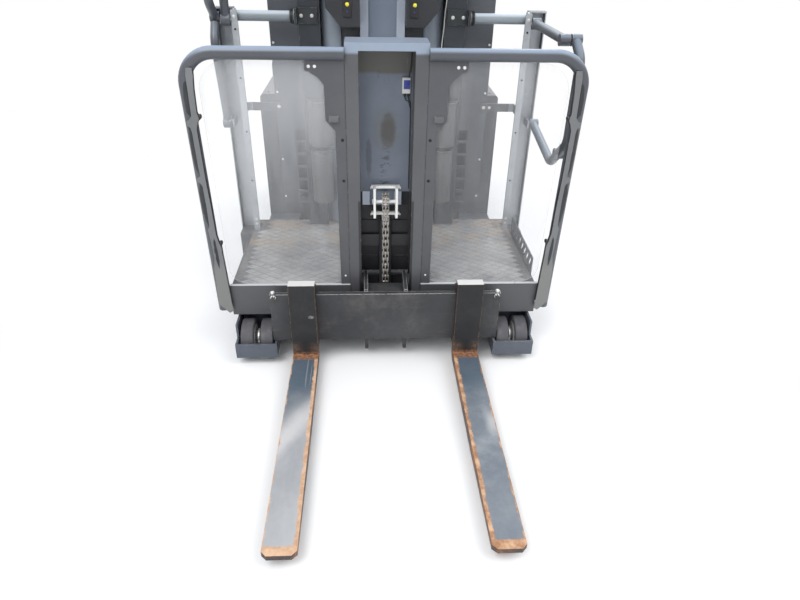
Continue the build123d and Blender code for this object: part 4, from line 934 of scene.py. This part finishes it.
def leaf_chain():
    """Leaf chain: the strand to the fork plate and the turn; the strand is built at one length, though the
    real one shortens as the forks rise.
    """
    front = SHEAVE_Y - SHEAVE_RADIUS
    strand = Shape()
    count = round((CHAIN_TOP - CHAIN_FOOT) / CHAIN_PITCH)
    pitch = (CHAIN_TOP - CHAIN_FOOT) / count
    for i in range(count):
        low = CHAIN_FOOT + i * pitch
        add_link(strand, (front, low), (front, low + pitch), i % 2)
    strand = strand.done("chain_strand", "crosshead", "chain_steel", "chain_steel", 0)
    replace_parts(strand, "lift_chain")
    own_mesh(strand)
    turn = Shape()
    pins = []
    for i in range(CHAIN_TURN_LINKS + 1):
        angle = pi - pi * i / CHAIN_TURN_LINKS
        pins.append((SHEAVE_Y + SHEAVE_RADIUS * cos(angle), CHAIN_TOP + SHEAVE_RADIUS * sin(angle)))
    for i, (start, end) in enumerate(zip(pins, pins[1:])):
        add_link(turn, start, end, i % 2)
    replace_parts(turn.done("chain_turn", "crosshead", "chain_steel", "chain_steel", 0), "lift_chain")


def crosshead_fittings():
    """Bolts of the crosshead and the nuts of its sheave pin."""
    bolts = Shape()
    for z, side in product((579, 686), SIDES):
        bolts.bolt((side * 54, 195, z), outward(side), 4.5)
        bolts.bolt((side * 41, 181, z), FRONT, 4)
    for side in SIDES:
        bolts.turned((side * 47, SHEAVE_Y, CHAIN_TOP), outward(side), [(0, 10), (3, 10), (4, 8)], 6)
    bolts.done("crosshead_bolts", "crosshead", "zinc", "white_zinc", 0.4)


def fork_fittings():
    """Stop bolts at the ends of the plate, locking pins of the forks, chain anchor and rear feet."""
    bolts = Shape()
    for side in SIDES:
        stop = [(-2, 12), (0.5, 12), (1, 10), (9, 10), (11, 8.6)]
        bolts.turned((side * 434, 40, 300), FRONT, stop, 6, 0.4)
        bolts.turned((side * 436, 50, 314), UP, [(0, 8), (7, 8), (9, 6.6)], 6)
    bolts.done("plate_bolts", "fork_carriage", "zinc", "white_zinc", 0.5)
    pins = Shape()
    for side in SIDES:
        pins.turned((side * 320, 56, 340), UP, [(0, 11), (3, 11), (4, 8), (14, 8), (16, 6.5)], 20)
        handle = ((320, 56, 354), (306, 54, 357), (290, 50, 351), (284, 49, 345))
        pins.pipe([(side * x, y, z) for x, y, z in handle], 3.2)
    pins.done("fork_pins", "fork_carriage", "zinc", "zinc", 0.5)
    anchor = Shape()
    for x in (-13, 13):
        anchor.turned((x, 140, 236), DOWN, [(0, 9), (8, 9), (9, 8)], 6)
        anchor.turned((x, 140, 230), DOWN, [(0, 5), (26, 5), (28, 4)], 16)
    anchor.done("chain_anchor", "fork_carriage", "zinc", "zinc", 0.5)
    feet = Shape()
    for side in SIDES:
        outline = [(62, 66), (62, 44), (67, 36), (84, 36), (90, 44), (90, 66)]
        feet.prism(outline, "x", *around(side * 77.5, 7))
    feet.done("carriage_feet", "fork_carriage", "fork_steel", "black_trim", 1)


def post_fittings():
    """Holes, bolts and pin caps of the gate posts, straps and cross tubes."""
    holes = Shape()
    for side, z in product(SIDES, (1166, 981, 760, 540)):
        holes.turned((side * POST_X, POST_FRONT + 0.2, z), FRONT, [(0, 4.2), (0.8, 4.2), (1, 3.4)], 16)
    holes.done("post_holes", "cab", "galvanised", "hole", 0)
    bolts = Shape()
    for side in SIDES:
        bolts.bolt((side * 452, 769, 840), FRONT, 5)
        bolts.bolt((side * POST_X, POST_FRONT, CROSS_TUBE_Z), FRONT, 4.5)
        for x in (284, 327):
            bolts.bolt((side * x, 711.5, CROSS_TUBE_Z), FRONT, 5)
        for z in (330, 352):
            bolts.bolt((side * POST_X, POST_FRONT, z), FRONT, 4)
    bolts.bolt((478, 769, 840), FRONT, 4.5)
    bolts.done("post_bolts", "cab", "zinc", "zinc", 0.5)
    rings = Shape()
    for side, (x, size) in product(SIDES, ((352, 23), (361, 22))):
        profile = [(0, size), (1, size + 5), (7, size + 5), (8, size)]
        rings.turned((side * x, 695, CROSS_TUBE_Z), outward(side), profile, 32)
    rings.done("cross_tube_rings", "cab", "console_black", "black_trim", 0.5)
    for (name, side), (bar, x, z) in product(NAMED_SIDES, (("upper", 634, 1199), ("lower", 675, 798))):
        cap = Shape()
        cap.turned((side * x, 665, z), outward(side), [(0, 16), (1, 17), (3, 15), (4, 9)], 28)
        cap.done(f"gate_cap_{name}_{bar}", f"gate_{name}_{bar}", "zinc", "zinc", 0)


TILE_WIDTH, TILE_DEPTH, TILE_HEIGHT = 58, 42, 1.6
TILES_HALF, TILES_FRONT, TILES_BACK = 575, 150, 765
# Stretches that stay free of tiles, as limits of the distance from the middle and of Y
TILE_GAPS = (
    ((0, 162), (0, 262)),  # auxiliary mast
    ((540, 600), (635, 800)),  # gate posts
    ((228, 366), (702, 800)),  # columns
)


def floor_tiles():
    """Raised lozenges over the whole floor plate, left out where something stands on it."""
    tiles = Shape()
    half_row = TILE_DEPTH / 2
    for row in range(int((TILES_BACK - TILES_FRONT) / half_row) + 1):
        y = TILES_FRONT + row * half_row
        for column in range(-10, 11):
            x = (column + 0.5 * (row % 2)) * TILE_WIDTH
            gaps = [a <= abs(x) < b and c <= y < d for (a, b), (c, d) in TILE_GAPS]
            if abs(x) > TILES_HALF or any(gaps):
                continue
            points = []
            for z, share in ((FLOOR_TOP, 0.93), (FLOOR_TOP + TILE_HEIGHT, 0.88)):
                wide, deep = TILE_WIDTH / 2 * share, half_row * share
                points += [(x - wide, y, z), (x, y - deep, z), (x + wide, y, z), (x, y + deep, z)]
            made = tiles.corners(points)
            tiles.mesh.faces.new(made[4:])
            for i in range(4):
                after = (i + 1) % 4
                tiles.mesh.faces.new((made[i], made[after], made[4 + after], made[4 + i]))
    tiles.done("floor_tiles", "cab", "tread_steel", "tile", 0)


# X of the yellow cap, the violet cap, the front bezels and the upper bezel of each console
CONSOLES = ((-140, -140, -140, -160), (124, 122, 123, 160))


def consoles():
    """Buttons, steering disc, control grip, screen and trim of the two consoles."""
    caps = Shape()
    under = Shape()
    bezels = Shape()
    for yellow, violet, front, upper in CONSOLES:
        profile = [(0, 9), (2, 9), (4, 8), (7, 6.5), (8.5, 4), (9, 1)]
        caps.turned((yellow, CONSOLE_FRONT, 1262), FRONT, profile, 24)
        profile = [(0, 8), (2, 8), (4, 7), (5, 4), (5.5, 1)]
        under.turned((violet, CONSOLE_FRONT, 1237), FRONT, profile, 24)
        bezels.block(around(front, 16), (644, 650), (1216, 1284))
        bezels.block(around(front, 20), (646, 650), (1300, 1380))
        bezels.block(around(upper, 45), (660, 735), (CONSOLE_TOP - 3, CONSOLE_TOP + 2))
    caps.done("console_yellow_caps", "cab", "console_black", "yellow", 0)
    under.done("console_violet_caps", "cab", "console_black", "violet", 0)
    bezels.done("console_bezels", "cab", "console_black", "black_trim", 2)
    screen = Shape()
    screen.block((-185, -105), (640, 652), (1330, 1396))
    screen.done("console_screen", "cab", "console_black", "screen", 2)
    disc = Shape()
    wheel = [(0, 26), (10, 24), (22, 20), (24, 60), (28, 66), (36, 66), (40, 60), (40, 10)]
    disc.turned((-158, CONSOLE_MIDDLE, CONSOLE_TOP + 2), UP, wheel, 48)
    knob = [(0, 8), (10, 8), (14, 13), (28, 16), (40, 13), (44, 6)]
    disc.turned((-120, CONSOLE_MIDDLE, CONSOLE_TOP + 40), UP, knob, 28)
    disc.done("steering_disc", "cab", "console_black", "black_trim", 1)
    grip = Shape()
    stick = [(0, 32), (6, 30), (12, 22), (20, 14), (40, 13), (60, 17), (90, 20), (108, 19), (118, 10)]
    grip.turned((158, CONSOLE_MIDDLE, CONSOLE_TOP), UP, stick, 32)
    grip.block((144, 172), (672, 690), (1484, 1516))
    grip.done("control_grip", "cab", "console_black", "black_trim", 2)
    stop = Shape()
    button = [(0, 14), (4, 14), (10, 9), (14, 9), (15, 18), (22, 19), (27, 14), (29, 4)]
    stop.turned((205, CONSOLE_MIDDLE, CONSOLE_TOP), UP, button, 32)
    stop.done("stop_button", "cab", "console_black", "red", 0.5)


TUB_X, TUB_Y = 268, 719


def cab_rear():
    """Screws, wire, hatch, tub rims and column bolts of the rear wall of the cab."""
    screws = Shape()
    for side in SIDES:
        for z in (420, 600, 900, 1100, 1300, 1500, 1700, 1860):
            screws.screw((side * 455, 775.8, z), FRONT, 5)
        for z in (1000, 1400, 1800):
            screws.screw((side * 75, 768, z), FRONT, 4.5)
        for z in (500, 760, 1000):
            screws.screw((side * 130, 763.8, z), FRONT, 4.5)
    screws.done("rear_wall_screws", "cab", "zinc", "zinc", 0)
    wire = Shape()
    route = [
        (262, 717, 1420), (258, 716, 1300), (252, 717, 1230), (250, 717, 1170), (245, 719, 1100),
        (247, 719, 1000),
    ]
    wire.pipe(route, 1.8)
    wire.done("column_wire", "cab", "cab_grey", "white_case", 0)
    rims = Shape()
    for side, (radius, z) in product(SIDES, ((57, 880), (50, 668))):
        angles = [pi + pi * i / 24 for i in range(25)]
        rim = [(side * TUB_X + radius * cos(a), TUB_Y + radius * sin(a), z) for a in angles]
        rims.pipe(rim, 4, 8, 1)
    rims.done("tub_rims", "cab", "panel_grey", "rear_panel", 0)
    hatch = Shape()
    hatch.block((-86, 86), (752, 768.5), (560, 780))
    hatch.done("wall_hatch", "cab", "panel_grey", "inner_panel", 6, 3)
    backs = Shape()
    for side, z in product(SIDES, (300, 520, 700, 980, 1240, 1500, 1760, 2020, 2260)):
        backs.bolt((side * 315, COLUMN_BACK, z), BACK, 8)
    backs.done("column_bolts", "cab", "zinc", "zinc", 0.5)


def roof():
    """Bolts and lamps of the overhead guard."""
    bolts = Shape()
    for side in SIDES:
        for y in (730, 780, 840):
            bolts.bolt((side * 297, y, 2380), UP, 7)
        for y in (200, 500, 800):
            bolts.screw((side * 462, y, 2389.5), UP, 4)
    bolts.done("roof_bolts", "cab", "zinc", "zinc", 0.4)
    lamps = Shape()
    lenses = Shape()
    for side in SIDES:
        lamps.block(around(side * ROOF_LAMP_X, 48), (236, 272), (2306, 2346))
        lamps.turned((side * ROOF_LAMP_X, 254, 2339), UP, [(0, 7), (12, 7)], 16)
        for x in (-24, 0, 24):
            profile = [(0, 9), (2, 9.5), (3, 8), (3.6, 3)]
            lenses.turned((side * ROOF_LAMP_X + x, 236.5, 2326), FRONT, profile, 20)
    lamps.done("roof_lamps", "cab", "console_black", "black_trim", 4, 3)
    lenses.done("roof_lamp_lenses", "cab", "console_black", "clear_lens", 0)


def load_wheel_fittings():
    """Tread rings and hub of each pair of load wheels, and the heads of their axles."""
    for name, side in NAMED_SIDES:
        rings = Shape()
        for way in SIDES:
            start = (side * (LOAD_WHEEL_X + way * 14.4), LOAD_AXLE_Y, LOAD_AXLE_Z)
            rings.turned(start, outward(-side * way), [(0, 52), (0.6, 51), (0.8, 30)], 40)
        start = (side * LOAD_WHEEL_X - 4, LOAD_AXLE_Y, LOAD_AXLE_Z)
        rings.turned(start, outward(1), [(0, 30), (1, 33), (7, 33), (8, 30)], 32)
        rings.done(f"load_wheel_hubs_{name}", f"load_wheels_{name}", "hub_iron", "zinc", 0)
    heads = Shape()
    for side in SIDES:
        profile = [(0, 13), (1.2, 12), (1.5, 6)]
        heads.turned((side * 604, LOAD_AXLE_Y, LOAD_AXLE_Z), outward(side), profile, 6)
    heads.done("load_axle_heads", "root", "rod_chrome", "zinc", 0)


def mast_fittings():
    """Bolts, roller caps, pipes and cylinder glands of the main mast."""
    bolts = Shape()
    for side in SIDES:
        for z in (120, 200, 1530, 1570, 2640, 2700, 2740):
            bolts.bolt((side * 380, TIE_BACK, z), BACK, 8)
        for z in (2785, 90):
            bolts.turned((side * 400, 975, z), outward(side), [(-2, 20), (-0.6, 20), (-0.2, 12)], 32)
    bolts.done("mast_bolts", "root", "zinc", "zinc", 0.4)
    pipes = Shape()
    route = (
        (290, 1084, 95), (286, 1082, 150), (PIPE_X, 1079, 260), (PIPE_X, 1079, 1400),
        (PIPE_X, 1079, 2500), (280, 1080, 2585), (296, 1090, 2600),
    )
    for side in SIDES:
        pipes.pipe([(side * x, y, z) for x, y, z in route], 7, 12)
    pipes.done("mast_pipes", "root", "chassis_grey", "black_trim", 0)
    clips = Shape()
    for side, z in product(SIDES, (230, 1520, 1580, 2620)):
        clips.block(around(side * PIPE_X, 16), (TIE_BACK, 1089), around(z, 9))
    clips.done("mast_pipe_clips", "root", "zinc", "zinc", 2)
    glands = Shape()
    for side in SIDES:
        profile = [(0, 37), (4, 41), (26, 41), (30, 38), (30, 30), (38, 29), (40, 26.5)]
        glands.turned((side * CYLINDER_X, CYLINDER_Y, 2690), UP, profile, 40)
        foot = [(0, 42), (8, 42), (10, 37), (40, 37)]
        glands.turned((side * CYLINDER_X, CYLINDER_Y, 62), UP, foot, 40)
    glands.done("mast_cylinder_glands", "root", "mast_grey", "black_trim", 0.5)
    head = Shape()
    for side, y in product(SIDES, (930, 1020, CYLINDER_Y)):
        head.bolt((side * CYLINDER_X, y, 2861), UP, 9)
    head.done("mast_head_bolts", "inner_mast", "zinc", "zinc", 0.5)


SLAT_COUNT = 8


def slats(shape, depth, z, axis, width):
    """Row of tilted louvre slats: depth gives the limits across the wall, axis runs along it."""
    pitch = (z[1] - z[0]) / SLAT_COUNT
    for i in range(SLAT_COUNT):
        low = z[0] + i * pitch
        corners = ((depth[0], 0), (depth[1], 0.55), (depth[1], 0.72), (depth[0], 0.2))
        shape.prism([(value, low + pitch * share) for value, share in corners], axis, *width)


def side_covers():
    """Grips, screws and louvres of the battery's side covers."""
    grips = Shape()
    for side, y in product(SIDES, (1300, 1500)):
        x = (side * (SIDE_COVER_X - 6), side * (SIDE_COVER_X + 0.5))
        grips.block(x, around(y, 55), (690, 722))
        grips.block(x, around(y, 45), (250, 262))
    grips.done("side_cover_grips", "root", "console_black", "black_trim", 3, 3)
    screws = Shape()
    for side, y, z in product(SIDES, (1200, 1400, 1620), (290, 640)):
        screws.screw((side * SIDE_COVER_X, y, z), outward(side), 6)
    screws.done("side_cover_screws", "root", "zinc", "zinc", 0)
    vents = Shape()
    for side in SIDES:
        x = (side * (SIDE_COVER_X - 7), side * (SIDE_COVER_X - 0.5))
        slats(vents, x, (360, 560), "y", (1240, 1560))
    vents.done("side_cover_louvres", "root", "cover_grey", "cover_grey", 0.5)


def hood_and_lid():
    """Grille, lamps, front wall, grip and seams of the hood, and the grips of the battery lid."""
    grille = Shape()
    grille.block((-210, 210), (HOOD_BACK - 7, HOOD_BACK), (620, 640))
    grille.block((-210, 210), (HOOD_BACK - 7, HOOD_BACK), (800, 820))
    for side in SIDES:
        grille.block(around(side * 210, 10), (HOOD_BACK - 7, HOOD_BACK), (620, 820))
    slats(grille, (2233, 2238.5), (640, 800), "x", (-204, 204))
    grille.done("hood_grille", "hood", "console_black", "black_trim", 1.5)
    for name, material, half, y, z in (
        ("lamp_frames", "black_trim", 42, (2233, 2239.5), (690, 790)),
        ("red_lenses", "red_lens", 34, (2236, 2240.2), (700, 744)),
        ("amber_lenses", "amber_lens", 34, (2236, 2240.2), (750, 782)),
    ):
        lamps = Shape()
        for side in SIDES:
            lamps.block(around(side * REAR_LAMP_X, half), y, z)
        lamps.done(f"hood_{name}", "hood", "console_black", material, 3, 3)
    wall = Shape()
    for x in ((-590, -474), (-366, 366), (474, 590)):
        wall.block(x, (1655, 1658), (806, 889))
    wall.done("hood_front_wall", "hood", "cover_grey", "cover_grey", 1)
    grip = Shape()
    grip.block((-90, 90), (2226, HOOD_BACK), (846, 858))
    grip.done("hood_grip", "hood", "console_black", "black_trim", 4, 3)
    seams = Shape()
    for side in SIDES:
        seams.block((side * 594, side * 596.6), (1700, 2060), (583, 586))
    seams.done("hood_seams", "hood", "console_black", "hole", 0)
    lid = Shape()
    for side in SIDES:
        lid.block(around(side * 330, 70), (1560, 1592), (798, LID_TOP + 0.8))
        for y in (1600, 1210):
            lid.screw((side * 560, y, LID_TOP), UP, 6)
    lid.done("battery_lid_grips", "battery_lid", "console_black", "black_trim", 1)


front_guard()
guard_sheets()
shaft_sheet()
service_box()
leaf_chain()
crosshead_fittings()
fork_fittings()
post_fittings()
floor_tiles()
consoles()
cab_rear()
roof()
load_wheel_fittings()
mast_fittings()
side_covers()
hood_and_lid()


FLOOR_HALF = 30
# Half width and half length of floor that keep their shade, its middle, and the fade to white beyond
FLOOR_SHADE = (0.75, 1.65)
FLOOR_MIDDLE = 0.66
FLOOR_FADE = 0.9
# Name, place, size and power of each lamp
LAMPS = (
    ("key", (-2.5, -4.0, 6.0), 4.0, 260),
    ("fill", (3.5, -2.5, 4.5), 4.0, 110),
    ("rear", (1.0, 5.0, 5.5), 4.0, 160),
)
LAMP_TARGET = Vector((0, 0, 0.8))


def floor():
    """Pale floor that takes the shadow and fades to white for the camera."""
    mesh = bpy.data.meshes.new("floor")
    corners = [(x * FLOOR_HALF, y * FLOOR_HALF, 0) for x, y in ((-1, -1), (1, -1), (1, 1), (-1, 1))]
    mesh.from_pydata(corners, [], [(0, 1, 2, 3)])
    plane = bpy.data.objects.new("floor", mesh)
    bpy.context.scene.collection.objects.link(plane)
    n = Nodes("floor")
    tone = n.mix(n.noise(3, 3), (0.93, 0.93, 0.93), (0.95, 0.95, 0.95))
    diffuse = n.add("ShaderNodeBsdfDiffuse", {"Color": tone})
    white = n.add("ShaderNodeEmission", {"Strength": 1.0})
    across = n.either(n.less(n.width, FLOOR_SHADE[0]), 0.0)
    back = n.math("ABSOLUTE", n.less(n.y, FLOOR_MIDDLE))
    back = n.either(n.less(back, FLOOR_SHADE[1]), 0.0)
    away = n.math("SQRT", n.total(n.both(across, across), n.both(back, back)))
    seen = n.add("ShaderNodeLightPath").outputs["Is Camera Ray"]
    share = n.both(n.step(away, 0.0, FLOOR_FADE), seen)
    blend = n.add("ShaderNodeMixShader", {0: share, 1: diffuse.outputs[0], 2: white.outputs[0]})
    n.feed(n.out.inputs["Surface"], blend.outputs[0])
    mesh.materials.append(n.material)


def surroundings():
    """White surroundings for the camera, mirrors and clear panes, and a pale blue light from them."""
    world = bpy.data.worlds.new("world")
    bpy.context.scene.world = world
    sky = Tree(world)
    rays = sky.add("ShaderNodeLightPath").outputs
    seen = sky.either(rays["Is Camera Ray"], rays["Is Glossy Ray"], rays["Is Transmission Ray"])
    lit = sky.add("ShaderNodeBackground", {"Color": (0.93, 0.96, 1), "Strength": 0.75})
    shown = sky.add("ShaderNodeBackground", {"Color": (1, 1, 1)})
    blend = sky.add("ShaderNodeMixShader", {0: seen, 1: lit.outputs[0], 2: shown.outputs[0]})
    sky.add("ShaderNodeOutputWorld", {"Surface": blend.outputs[0]})


def lights():
    """Soft square lamps that look at the truck."""
    for name, place, size, power in LAMPS:
        data = bpy.data.lights.new(name, "AREA")
        data.size = size
        data.energy = power
        lamp = bpy.data.objects.new(name, data)
        lamp.location = place
        lamp.rotation_euler = (LAMP_TARGET - Vector(place)).to_track_quat("-Z", "Y").to_euler()
        bpy.context.scene.collection.objects.link(lamp)


floor()
surroundings()
lights()
bpy.context.scene.view_settings.view_transform = "Standard"
